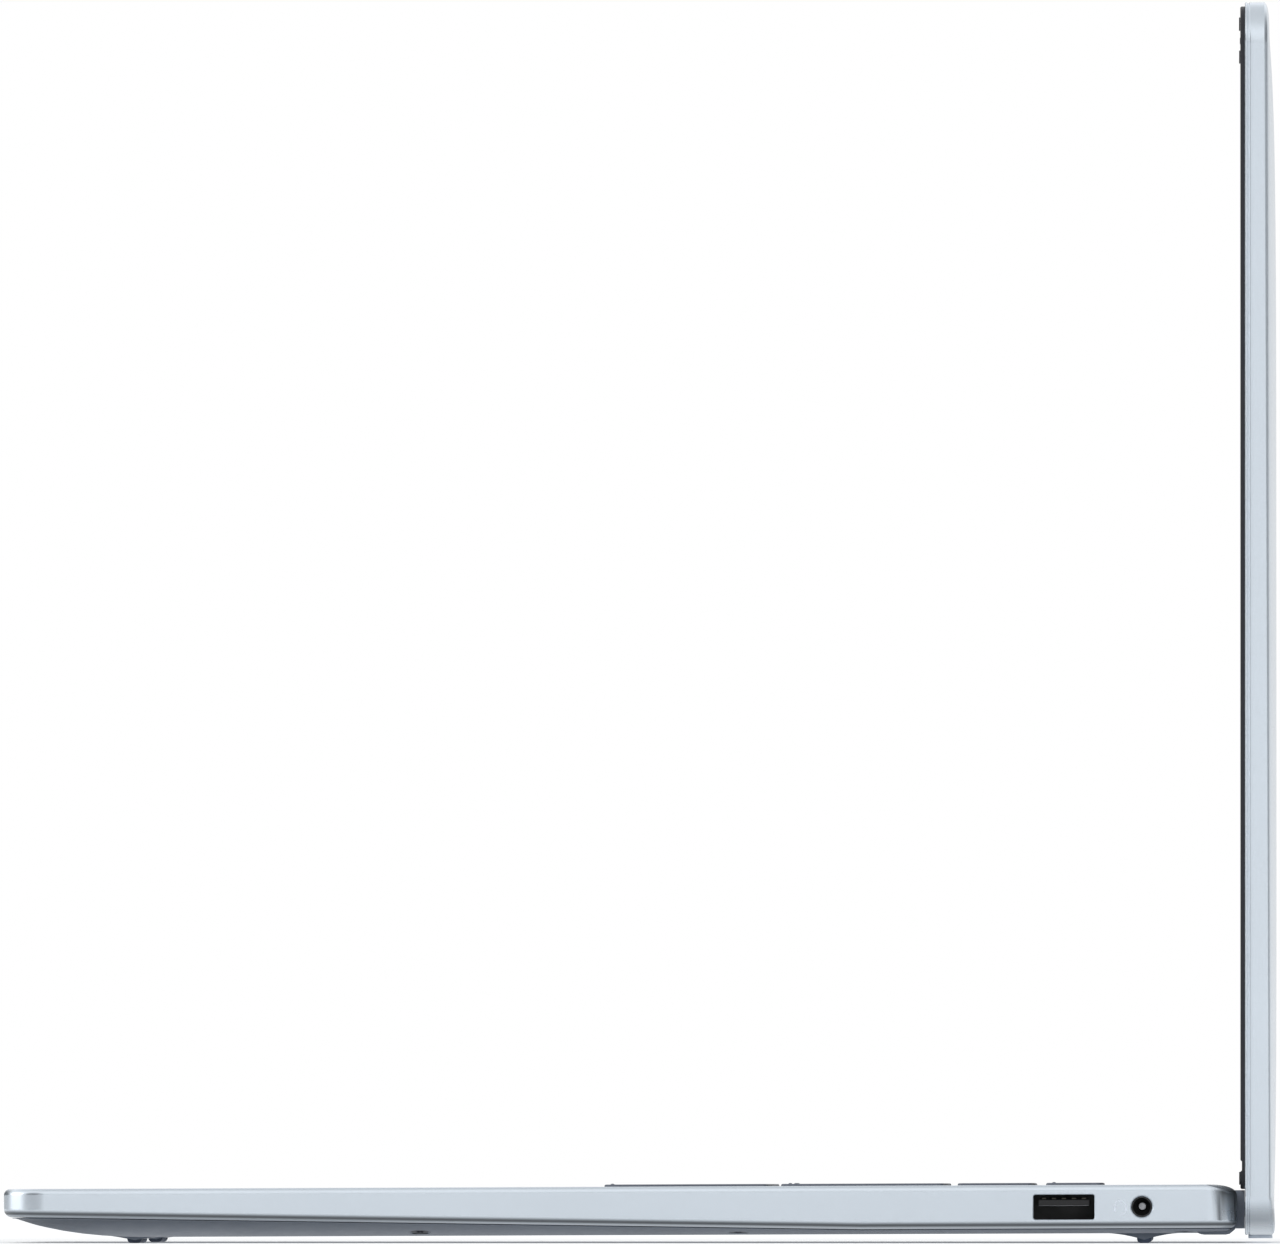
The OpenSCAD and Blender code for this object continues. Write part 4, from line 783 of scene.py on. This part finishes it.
def ridges():
    """The hump under the hinges and a ridge round each foot, to be joined to the bottom cover."""
    reach = HALF - CORNER_R - 2
    y0 = HINGE_Y - 1.9
    hump = [(y0 - 1.5, 0.05), (y0 - 0.75, -0.26), (y0, -0.36), (HINGE_Y + 2.4, -0.36),
            (HINGE_Y + 3.2, -0.2), (REAR - 0.4, 0.7), (REAR - 0.4, 0.82), (y0 - 1.5, 0.82)]
    out = [(lambda g: hump, [(-reach, 0), (reach, 0)], along_x(0, 0))]
    root = 0.3
    for x, y, _, _, w, h, length in FEET:
        line = []
        for i in range(-10, 11):
            v = y + w / 2 * i / 10
            line.append((v, dish(v) + 0.03 - h * (1 - abs(i) / 10) ** 1.8))
        line += [(v, z + root) for v, z in (line[-1], line[0])]
        out.append((lambda g, line=line: line, [(x - length / 2, 0), (x + length / 2, 0)], along_x(0, 0)))
    return out


def vent_tool():
    """The air inlets under the fans and the screws' holes, opened a little at the surface."""
    holes = [(rounded(*VENT_SIZE, 0.74), [(-0.3, 0.42), (0.12, 0), (COVER_T + 1, 0)],
              flat(s * FAN_X + x, FAN_Y + y)) for s in (-1, 1)
             for x in spaced(VENT_COLUMNS, VENT_PITCH[0]) for y in spaced(VENT_ROWS, VENT_PITCH[1])]
    for x, y in SCREWS:
        z = cover_low(x, y)
        holes.append((disc(SCREW_HOLE_R), [(z - 0.3, 0.42), (z + 0.12, 0), (z + 0.45, 0)], flat(x, y)))
    return tool(holes)


def seat_tool():
    """The feet's seats, which stand square to the table and not to the base."""
    return tool([(rounded(length + 0.1, FOOT_W + 0.1, 0.4), [(-3, 0), (top, 0)], flat(x, y))
                 for x, y, length, top, *_ in FEET], Matrix.Identity(4))


def make_bottom_cover():
    cover = build("base_bottom_cover", ON_BASE, hull(cover_rows()), ["cover"])
    cut(cover, [tool(ridges())], "UNION")
    carve(cover, vent_tool(), seat_tool(), notch_tool())
    true_normals(cover, ON_BASE, cover_normals)
    hang(cover, "base", "cover_plastic", "bottom_cover")


SCREWS = [(s * x, y) for s in (-1, 1) for x, y in (
    (HALF - 28, FRONT + 10), (HALF - 7.9, FRONT + 0.3375 * DEPTH), (HALF - 7.9, FRONT + 0.5955 * DEPTH),
    (HALF - 8.4, REAR - 10.8))]
SCREWS += [(0, FRONT + 10), (0, KEY_Y0 - 10.5), (0, REAR - 10.8)]


def make_screws():
    """Six-lobed screws, each sunk square to the cover where it sits."""
    bm = bmesh.new()
    for x, y in SCREWS:
        dx, dy = slope(cover_low, x, y)
        axis = Vector((-dx, -dy, 1)).normalized()
        side = Vector((1, 0, 0)).cross(axis).normalized()
        ahead = axis.cross(side)
        seat = Vector((x, y, cover_low(x, y))) + axis * 0.12

        def ring(radius, deep, lobe=0.0, n=48):
            out = []
            for i in range(n):
                a = TAU * i / n
                r = radius + lobe * math.cos(6 * a)
                out.append(tuple(seat + side * (r * math.cos(a)) + ahead * (r * math.sin(a)) + axis * deep))
            return out

        turned = [(SCREW_R, 0.9), (SCREW_R, 0.16), (SCREW_R - 0.06, 0.05), (SCREW_R - 0.2, 0), (1.2, 0)]
        lobed = [(0.86, 0, 0.13), (0.82, 0.06, 0.13), (0.8, 0.7, 0.13)]
        close_ends(bm, skin(bm, [ring(*step) for step in turned + lobed]))
    hang(build("cover_screws", ON_BASE, bm, ["dark_steel"], 35), "base", "dark_screws", "bottom_screws")


# ---------------------------------------------------------------- keys
def cap_steps(half):
    """A cap's top from its edge to its middle: distance from the edge, depth under KEY_TOP."""
    edge = [(0, 0.34), (0.03, 0.2), (0.1, 0.09), (0.2, 0.025), (0.34, 0.0)]
    return edge + [(0.34 + half * 0.2, 0.03), (0.34 + half * 0.45, 0.065), (half, 0.085)]


def cap_depth(inset, half):
    steps = cap_steps(half)
    for (a, p), (b, q) in zip(steps, steps[1:]):
        if inset <= b:
            return between(p, q, (inset - a) / (b - a))
    return steps[-1][1]


def make_cap(bm, x, y, w, d):
    half = min(w, d) / 2
    rows = [[(x + u, y + v, KEY_TOP - CAP_T) for u, v in rect_loop(w - 0.2, d - 0.2, KEY_R - 0.1)],
            [(x + u, y + v, KEY_TOP - CAP_T + 0.1) for u, v in rect_loop(w, d, KEY_R)]]
    for inset in [step[0] for step in cap_steps(half)[:-1]] + [half * 0.8]:
        loop = rect_loop(w - 2 * inset, d - 2 * inset, max(KEY_R - inset * 0.6, 0.3))
        rows.append([(x + u, y + v, KEY_TOP - cap_depth(inset, half)) for u, v in loop])
    close_ends(bm, skin(bm, rows))


def letters(text, size):
    """Flat triangles of a short text about its middle, in millimetres."""
    curve = bpy.data.curves.new("legend", "FONT")
    curve.body = text.strip()
    curve.size = size * 1.35
    curve.align_x, curve.align_y = "CENTER", "CENTER"
    curve.resolution_u = 3
    ob = link("legend", curve)
    bpy.context.view_layer.update()
    me = bpy.data.meshes.new_from_object(ob.evaluated_get(bpy.context.evaluated_depsgraph_get()))
    points = [(v.co.x, v.co.y) for v in me.vertices]
    faces = [tuple(p.vertices) for p in me.polygons]
    bpy.data.objects.remove(ob)
    bpy.data.meshes.remove(me)
    return points, faces


LETTERS = {}


def put_legend(bm, x, y, w, d, text, size, dx, dy):
    half = min(w, d) / 2
    if text == "arrow":
        turn = Matrix.Rotation(math.radians(size), 2)
        points = [turn @ Vector(p) for p in ((0, 1.1), (-1.05, -0.7), (1.05, -0.7))]
        faces = [(0, 1, 2)]
    else:
        if (text, size) not in LETTERS:
            LETTERS[text, size] = letters(text, size)
        points, faces = LETTERS[text, size]
        if dx in (-1, 1):
            wide = max(p[0] for p in points) - min(p[0] for p in points)
            dx = dx * (w / 2 - 2.4 - wide / 2)
    verts = []
    for u, v in points:
        u, v = u + dx, v + dy
        inset = max(0.0, min(w / 2 - abs(u), d / 2 - abs(v)))
        verts.append(bm.verts.new((x + u, y + v, KEY_TOP - cap_depth(inset, half) + 0.02)))
    for f in faces:
        bm.faces.new([verts[i] for i in f]).material_index = 1


def nub(bm, x, y):
    """A raised bar near a cap's front edge, found by touch."""
    rows = []
    length, width, height = 1.5, 0.4, 0.24
    for i in range(9):
        t = i / 4 - 1
        pinch = math.sqrt(max(0.0, 1 - t ** 6))
        rows.append([(x + length * t, y + width * pinch * c, KEY_TOP - 0.05 + height * pinch * s)
                     for c, s in arc(0, 180, 6)])
    skin(bm, rows, False)


def make_keys():
    groups = {}
    for key in KEYS:
        groups.setdefault(key[0], []).append(key)
    home = [k for k in KEYS if k[0] == "keys_home"]
    nubs = {"keys_home": [home[4], home[7]], "power_button": groups["power_button"],
            "numpad_enter_key": groups["numpad_enter_key"],
            "numpad_keys": [k for k in KEYS if k[0] == "numpad_keys" and k[5][0][0] == "5"]}
    for group, keys in groups.items():
        bm = bmesh.new()
        for _, x, y, w, d, _ in keys:
            make_cap(bm, x, y, w, d)
        for _, x, y, w, d, _ in nubs.get(group, []):
            nub(bm, x, y - d / 2 + NUB_IN)
        bmesh.ops.remove_doubles(bm, verts=bm.verts, dist=1e-4)
        bmesh.ops.recalc_face_normals(bm, faces=bm.faces)
        for _, x, y, w, d, legends in keys:
            for legend in legends:
                put_legend(bm, x, y, w, d, *legend)
            if group == "power_button":
                power_mark(bm, x, y)
        for face in bm.faces:
            if face.material_index == 1 and face.normal.z < 0:
                face.normal_flip()
        look, slot = ("power", "button_plastic") if group == "power_button" else ("key", "key_plastic")
        caps = to_object("caps_" + group, bm, [look, "legend"], ON_BASE)
        dress(caps, 40)
        hang(caps, group, slot, group)


def power_mark(bm, x, y):
    """The common on and standby sign: a broken ring and a bar."""
    z = KEY_TOP - 0.04
    gap = 35
    ring = [[bm.verts.new((x + r * c, y + r * s, z)) for r in (1.25, 1.6)]
            for c, s in arc(90 + gap, 450 - gap, 24)]
    for (a, b), (c, d) in zip(ring, ring[1:]):
        bm.faces.new((a, b, d, c)).material_index = 1
    corners = ((-0.18, 0.5), (0.18, 0.5), (0.18, 2.0), (-0.18, 2.0))
    bm.faces.new([bm.verts.new((x + u, y + v, z)) for u, v in corners]).material_index = 1


def make_touchpad():
    top, to = BASE_T - 0.1, flat(PAD_X, PAD_Y)
    levels = [(top - 1.0, 0), (top - 0.22, 0), (top - 0.1, -0.05), (top - 0.03, -0.14), (top, -0.3)]
    prisms = [(rounded(PAD_W, PAD_D, 2.7, 10), levels, to),
              (rounded(PAD_W - 6, PAD_D - 6, 2), [(top - 1.7, 0), (top - 0.99, 0)], to)]
    hang(cast("touchpad_plate", ON_BASE, prisms, ["pad"], 40), "touchpad", "touchpad_surface", "touchpad")


# ---------------------------------------------------------------- ports
def pins(y, z, count, pitch, outline, levels):
    """A row of contacts in a socket."""
    return [(outline, levels, along_x(y + at, z)) for at in spaced(count, pitch)]


def fit_port(name, bm, look, angle=30, slot="steel"):
    hang(build(name, ON_BASE, bm, [look], angle), "base", slot)


def make_contacts():
    """Each socket's contacts, and the tongue of the wide one."""
    wall = HALF - WALL - 0.1
    usb_a = pins(USB_Y, PORT_Z + 1.75, 5, 2.04, rounded(0.9, 0.3, 0.1, 3),
                 [(wall - 7, 0), (wall - 0.6, 0), (wall - 0.2, -0.08)])
    tongue = [(rounded(10.3, 0.98, 0.14, 4), [(wall - 7, 0), (wall + 0.16, 0), (wall + 0.26, -0.1)],
               along_x(USB_Y, PORT_Z + 0.76))]
    usb_c = []
    for y in USBC_Y:
        for z in (PORT_Z - 0.36, PORT_Z + 0.36):
            usb_c += pins(y, z, 12, 0.48, rounded(0.26, 0.05, 0.02, 2), [(5.2 - wall, 0), (0.7 - wall, 0)])
    hdmi = pins(HDMI_Y, PORT_Z + 0.78, 9, 1.0, rounded(0.5, 0.06, 0.02, 2), [(6 - wall, 0), (1 - wall, 0)])
    for name, look, prisms in (("usb_a_contacts", "spring", usb_a), ("usb_a_tongue", "tongue", tongue),
                               ("usb_c_contacts", "gold", usb_c), ("hdmi_contacts", "gold", hdmi)):
        hang(cast(name, ON_BASE, prisms, [look]), "base", "steel")


def make_jack():
    """The inside of the headset jack: its sleeve, and the spring at its end."""
    bm = bmesh.new()
    face = HALF - 0.5
    spin(bm, [(2.1, face), (2.08, face + 0.12), (1.98, face + 0.16), (1.86, face + 0.1), (1.8, face - 0.1),
              (1.8, face - 1.4)], along_x(JACK_Y, PORT_Z), 48)
    fit_port("jack_sleeve", bm, "gloss", 60)
    bm = bmesh.new()
    tip = face - 4
    spin(bm, [(0.001, tip), (0.7, tip - 0.05), (0.82, tip - 0.2), (0.82, tip - 2), (0.001, tip - 2)],
         along_x(JACK_Y + 0.1, PORT_Z + 0.1), 32)
    fit_port("jack_spring", bm, "steel", 40)


def make_sign():
    """The common headset sign, printed beside the jack: a band, two ear pieces and a microphone."""
    bm = bmesh.new()
    to = along_x(SIGN_Y, SIGN_Z)

    def strip(points, wide):
        rows = []
        for i, p in enumerate(points):
            a, b = points[max(i - 1, 0)], points[min(i + 1, len(points) - 1)]
            side = Vector((a[1] - b[1], b[0] - a[0])).normalized() * wide / 2
            rows.append([to(p[0] + k * side.x, p[1] + k * side.y, HALF + 0.012) for k in (-1, 1)])
        skin(bm, rows, False)

    strip([(1.2 * c, 0.1 + 1.2 * s) for c, s in arc(0, 180, 15)], 0.24)
    for y in (-1.12, 1.12):
        strip([(y, 0.15), (y, -0.8)], 0.5)
    strip([(1.12, -0.8), (1.06, -1.15), (0.75, -1.38), (0.2, -1.38)], 0.2)
    fit_port("headset_sign", bm, "sign", 30, "silver_metal")


# ---------------------------------------------------------------- lid
def lid_rim(y):
    """Thickness of the lid's rim, which is less at the head."""
    return between(RIM_FOOT, RIM_TOP, ramp(y, LID_LOW, LID_HIGH))


def crown(x, y, inset, down):
    """Depth of the lid's back at x, y: a rim that swells to full thickness, alike across the corners."""

    def fade(distance, rate=0.28):
        return math.exp(-rate * max(distance, 0) ** 0.62)

    curl = 0.6
    near = (LID_T - lid_rim(y) - curl * down * down) * fade(inset, 0.28 + 0.5 * down)
    foot = fade(y - LID_LOW, 0.78)
    edges = 1 - (1 - fade(HALF - abs(x))) * (1 - fade(LID_HIGH - y))
    far = (LID_T - lid_rim(y)) * edges * (1 - foot) + (LID_T - RIM_FOOT - curl) * foot
    return LID_T - between(far, near, math.exp(-(inset / 4.5) ** 2))


def lid_half(inset, depth, n=12):
    """The right half of a loop of the lid, from foot to head, on its crown where depth is None."""
    out = []

    def add(x, y, down=0):
        out.append((x, y, -LID_PLANE - (crown(x, y, inset, down) if depth is None else depth)))

    side = HALF - inset
    low, high = LID_LOW + inset, LID_HIGH - inset
    foot, head = (max(r - inset, 0.5) for r in (LID_CORNER_FOOT, LID_CORNER))
    for c, s in arc(90, 0, n):
        add(side - foot + foot * c, low + foot - foot * s, s)
    for i in range(1, 12):
        add(side, between(low + foot, high - foot, i / 12))
    for c, s in arc(0, 90, n):
        add(side - head + head * c, high - head + head * s)
    return out


# the lid's loops, (inset, depth), over its lip and the seam in its rim, and then only insets over its back
LID_EDGE = [(BEZEL_IN + 3, 0), (0.26, 0), (0.16, 0.03), (0.06, 0.1), (0.01, 0.22), (0, 0.34), (0.03, 0.46),
            (0.12, 0.53), (0.2, 0.56), (0.22, 0.66), (0.2, 0.8), (0.1, 0.92), (0.03, 1.02), (0, 1.2),
            (0, 1.9)]
LID_BACK = (0, 0.4, 0.6, 0.85, 1.1, 1.5, 2, 2.6, 3.4, 4.4, 5.6, 7, 9, 11.5, 14.5, 18, 23, 29, 36, 46, 56, 66)


def make_lid():
    rows = []
    for inset, depth in LID_EDGE + [(inset, None) for inset in LID_BACK]:
        half = lid_half(inset, depth)
        rows.append(half + [(-x, y, z) for x, y, z in reversed(half)])
    cover = build("lid_back_shell", ON_LID, hull(rows), ["lid_silver"])
    wall, foot_wall = 2.2, 9.23
    y0, y1 = LID_LOW + foot_wall, LID_HIGH - wall
    room = [(rounded(2 * (HALF - wall), y1 - y0, 3.0), [(-LID_PLANE - 3.4, 0), (-LID_PLANE + 1, 0)],
             flat(0, (y0 + y1) / 2))]
    carve(cover, tool(room, ON_LID))
    true_normals(cover, ON_LID, lid_normals)
    # painted shade on the lid's foot corners
    paint_shade_mark(cover, ON_LID, lid_shade_amount)
    hang(cover, "lid", "silver_metal", "lid_cover")


def bezel_tools():
    """The bezel's openings and its seam, cut from the front, and room for the shutter, cut from behind."""
    front, behind = -BEZEL_PLANE, -BEZEL_PLANE - 4

    def seam(g):
        low, high = (CHIN[0] - g, CHIN[1] + g) if g else (CHIN[0] + 0.15, CHIN[1] - 0.15)
        return [(-HALF, low), (-HALF, high), (HALF, high), (HALF, low)]

    cuts = [(rounded(SCREEN_W, SCREEN_H, 0.6), [(behind, 0), (front - 0.4, 0), (front + 0.6, 0.6)],
             flat(0, (SCREEN_LOW + SCREEN_TOP) / 2)),
            (disc(1.5, 32), [(behind, 0), (front - 0.2, 0), (front + 0.4, 0.6)], flat(0, CAMERA_Y)),
            (rounded(SLOT_W, 1.5, 0.6), [(behind, 0), (front - 0.1, 0), (front + 0.4, 0.5)],
             flat(SLOT_X + SLOT_W / 2, CAMERA_Y)),
            (seam, [(front - 0.3, 0), (front + 0.4, 0.4)], flat(0, 0))]
    cuts += [(disc(r, 16), [(front - deep, 0), (front + 1, 0)], flat(x, CAMERA_Y))
             for x, r, deep in ((-MIC_X, 0.4, 0.5), (MIC_X, 0.4, 0.5), (LAMP_X, 0.45, 0.3))]
    room = [(rounded(34, 4.6, 0.4), [(behind, 0), (front - 0.56, 0)], flat(4, CAMERA_Y))]
    return tool(cuts, ON_LID), tool(room, ON_LID)


def make_bezel():
    y0, y1 = BEZEL_LOW, LID_HIGH - BEZEL_IN
    w, h = 2 * (HALF - BEZEL_IN), y1 - y0

    def outline(g):
        return rect_loop(w + 2 * g, h + 2 * g, (LID_CORNER - BEZEL_IN + g, 5.2 + g), 10)

    front = -BEZEL_PLANE
    levels = [(-LID_PLANE - 0.5, 0), (front - 0.32, 0), (front - 0.16, -0.05), (front - 0.05, -0.16),
              (front, -0.34)]
    bezel = cast("screen_bezel", ON_LID, [(outline, levels, flat(0, (y0 + y1) / 2))], ["bezel"])
    carve(bezel, *bezel_tools())
    hang(bezel, "lid", "bezel_plastic", "bezel")


def make_camera_parts():
    """The lens and its ring, behind the shutter's plate, and the lamp beside it."""
    lens = [(0.001, 0), (0.5, -0.02), (0.85, -0.1), (1.1, -0.22), (1.1, -0.6)]
    ring = [(1.1, -0.4), (1.12, -0.06), (1.28, 0), (1.46, -0.08), (1.48, -0.6)]
    lamp_glass = [(0.001, -0.02), (0.3, -0.04), (0.44, -0.12), (0.44, -0.3)]
    for name, x, n, look, slot, deep, steps in (
            ("camera_lens", 0, 32, "lens", "screen", 1.04, lens),
            ("camera_ring", 0, 32, "port", "bezel_plastic", 1.04, ring),
            ("camera_lamp", LAMP_X, 20, "lens", "screen", 0, lamp_glass)):
        profile = [(r, h - BEZEL_PLANE - deep) for r, h in steps]
        bm = bmesh.new()
        spin(bm, profile, flat(x, CAMERA_Y), n)
        hang(build(name, ON_LID, bm, [look], 50), "lid", slot)


def make_screen():
    """The display: a glass front with a black border round the picture area."""
    bm = bmesh.new()
    z = -PANEL_FRONT
    side, low, high, border = 3.0, 6.0, 2.4, 1.2
    w, h = SCREEN_W + 2 * side, SCREEN_H + low + high
    centre = (SCREEN_LOW - low + SCREEN_TOP + high) / 2
    rows = skin(bm, [[(u, centre + v, zz) for u, v in rect_loop(w - 2 * g, h - 2 * g, 0.4, 2)]
                     for zz, g in ((z - 2.6, 0), (z - 0.1, 0), (z, 0.1))])
    bm.faces.new(rows[0][::-1])
    area = rect_loop(SCREEN_W - 2 * border, SCREEN_H - 2 * border, 0.3, 2)
    inner = [bm.verts.new((u, (SCREEN_LOW + SCREEN_TOP) / 2 + v, z)) for u, v in area]
    for i in range(len(inner)):
        j = (i + 1) % len(inner)
        bm.faces.new((rows[-1][i], rows[-1][j], inner[j], inner[i]))
    bm.faces.new(inner).material_index = 1
    hang(build("display_glass", ON_LID, bm, ["mask", "glass"]), "lid", "screen", "display_panel")


# ---------------------------------------------------------------- CAD nodes that stay
LOOKS = {
    "silver": "top_case", "lid_silver": "lid_cover", "foot_strip": "lid_foot_strip", "glass": "display_panel",
    "cover": "bottom_cover", "hinge": "hinge_cover_left hinge_cover_right", "pad": "touchpad",
    "dark_steel": "bottom_screws hinge_screws", "rubber": "front_feet rear_foot", "bumper": "lid_bumpers",
    "plate": "keyboard_plate", "power": "power_button", "bezel": "bezel camera_shutter",
    "steel": "touchpad_bracket hdmi_socket usb_c_sockets hinge_bracket_left hinge_bracket_right"
             " hinge_arm_left hinge_arm_right",
    "board": "mainboard memory_module wireless_card io_board display_board camera_module",
    "chip": "board_chips solid_state_drive fan_impeller_left fan_impeller_right",
    "copper": "heat_pipes fin_stack_left fin_stack_right", "battery": "battery_pack",
    "inner": "fan_housing_left fan_housing_right speaker_left speaker_right",
    "port": "usb_a_socket headset_jack",
}
LOOK_OF = {name: look for look, names in LOOKS.items() for name in names.split()}
for name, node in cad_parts.items():
    for entry in node.material_slots:
        entry.material = M[LOOK_OF.get(name, "key")]

make_top_shell()
make_bottom_cover()
make_screws()
make_keys()
make_touchpad()
make_contacts()
make_jack()
make_sign()
make_lid()
make_bezel()
make_camera_parts()
make_screen()


# ---------------------------------------------------------------- studio, in metres
CLOSE_RAY = 0.0045


def seen_rays(n, path):
    """1 for a ray that shows a thing to the eye, straight, in metal or through glass."""
    seen = n.math("MAXIMUM", path["Is Camera Ray"], path["Is Glossy Ray"])
    return n.math("MAXIMUM", seen, path["Is Transmission Ray"])


def make_floor():
    """A floor that is white to the eye, and whose own bounce is that of a pale grey.

    Seen from beneath it is clear, and light passes it to what lies close over it: the underside shows.
    """
    bm = bmesh.new()
    bmesh.ops.create_grid(bm, x_segments=8, y_segments=8, size=30.0)
    floor = to_object("floor", bm)
    n = paint("floor_paint")
    path = n.add("LightPath").outputs
    seen = seen_rays(n, path)
    tone = n.mix(n.spread(n.noise(3), 0, 1), (0.59, 0.59, 0.59, 1), (0.61, 0.61, 0.61, 1))
    matt = n.add("BsdfDiffuse", Color=n.mix(seen, tone, (0.78, 0.78, 0.78, 1)))
    distance = n.add("VectorMath", n.coord, how="LENGTH").outputs["Value"]
    far = n.spread(distance, 0.15, 0.42, 0.45, 1.5)
    glow = n.add("Emission", Strength=n.math("MULTIPLY", far, seen))
    lit = n.add("AddShader", matt.outputs[0], glow.outputs[0])
    clear = n.add("BsdfTransparent")
    beneath = n.add("NewGeometry").outputs["Backfacing"]
    close = n.math("LESS_THAN", path["Ray Length"], CLOSE_RAY)
    passing = n.math("MAXIMUM", beneath, close)
    n.surface(n.add("MixShader", passing, lit.outputs[0], clear.outputs[0]))
    floor.data.materials.append(n.owner)


def make_world():
    """Even light. Seen by eye or through glass it is white; metal sees it with a paler and a darker part."""
    world = bpy.data.worlds.new("studio")
    bpy.context.scene.world = world
    n = Nodes(world, "OutputWorld", "Generated")
    height = n.add("ValToRGB", Fac=n.add("SeparateXYZ", n.coord).outputs["Z"])
    stops = ((0.0, 0.86), (0.1, 0.93), (0.25, 1.12), (0.6, 1.1), (0.88, 0.75), (1.0, 0.68))
    while len(height.color_ramp.elements) < len(stops):
        height.color_ramp.elements.new(0.5)
    for stop, (at, level) in zip(height.color_ramp.elements, stops):
        stop.position = at
        stop.color = (level, level, level, 1)
    near = None
    for x, turn in ((-1, -35), (1, -35), (-1, 62), (1, 62)):
        way = (x * math.cos(math.radians(turn)), math.sin(math.radians(turn)), 0)
        facing = n.add("VectorMath", n.coord, way, how="DOT_PRODUCT").outputs["Value"]
        near = facing if near is None else n.math("MAXIMUM", near, facing)
    zone = n.add("MapRange", Value=near, From_Min=0.8, From_Max=0.98, To_Min=1.0, To_Max=0.0)
    zone.interpolation_type = "SMOOTHSTEP"
    path = n.add("LightPath").outputs
    level = n.math("MULTIPLY", height.outputs["Color"], zone.outputs["Result"])
    loss = n.math("MULTIPLY", path["Is Glossy Ray"], n.math("SUBTRACT", 1.0, level))
    plain = n.add("Background", Color=(0.96, 0.98, 1.0, 1), Strength=0.8)
    white = n.add("Background", Color=(1, 1, 1, 1), Strength=n.math("SUBTRACT", 1.0, loss))
    n.surface(n.add("MixShader", seen_rays(n, path), plain.outputs[0], white.outputs[0]))


def lamp(name, at, to, wide, high, watts, mirrored):
    data = bpy.data.lights.new(name, "AREA")
    data.shape, data.size, data.size_y = "RECTANGLE", wide, high
    data.energy = watts
    ob = link(name, data)
    ob.location = at
    ob.rotation_euler = (Vector(to) - Vector(at)).to_track_quat("-Z", "Y").to_euler()
    ob.visible_camera, ob.visible_glossy = False, mirrored


def make_camera():
    data = bpy.data.cameras.new("camera")
    data.lens, data.sensor_width, data.sensor_fit = 1600.0, 36.0, "HORIZONTAL"
    data.clip_start, data.clip_end = 0.5, 60.0
    ob = link("camera", data)
    side = HALF * MM
    ob.location = (side + 11.609, 0.123, 0.0117)
    aim = Vector((side, 0.0, 0.12647))
    ob.rotation_euler = (aim - ob.location).to_track_quat("-Z", "Y").to_euler()
    bpy.context.scene.camera = ob


make_floor()
make_world()
lamp("soft_top", (0.5, -0.2, 1.5), (0, 0, 0.05), 1.6, 1.6, 8, False)
lamp("soft_front", (0.15, -1.7, 0.42), (0, 0, 0.05), 1.3, 0.8, 4.6, True)
lamp("soft_side", (1.6, 0.3, 0.5), (0, 0, 0.1), 1.0, 0.7, 3, False)
make_camera()
bpy.context.scene.view_settings.view_transform = "Standard"
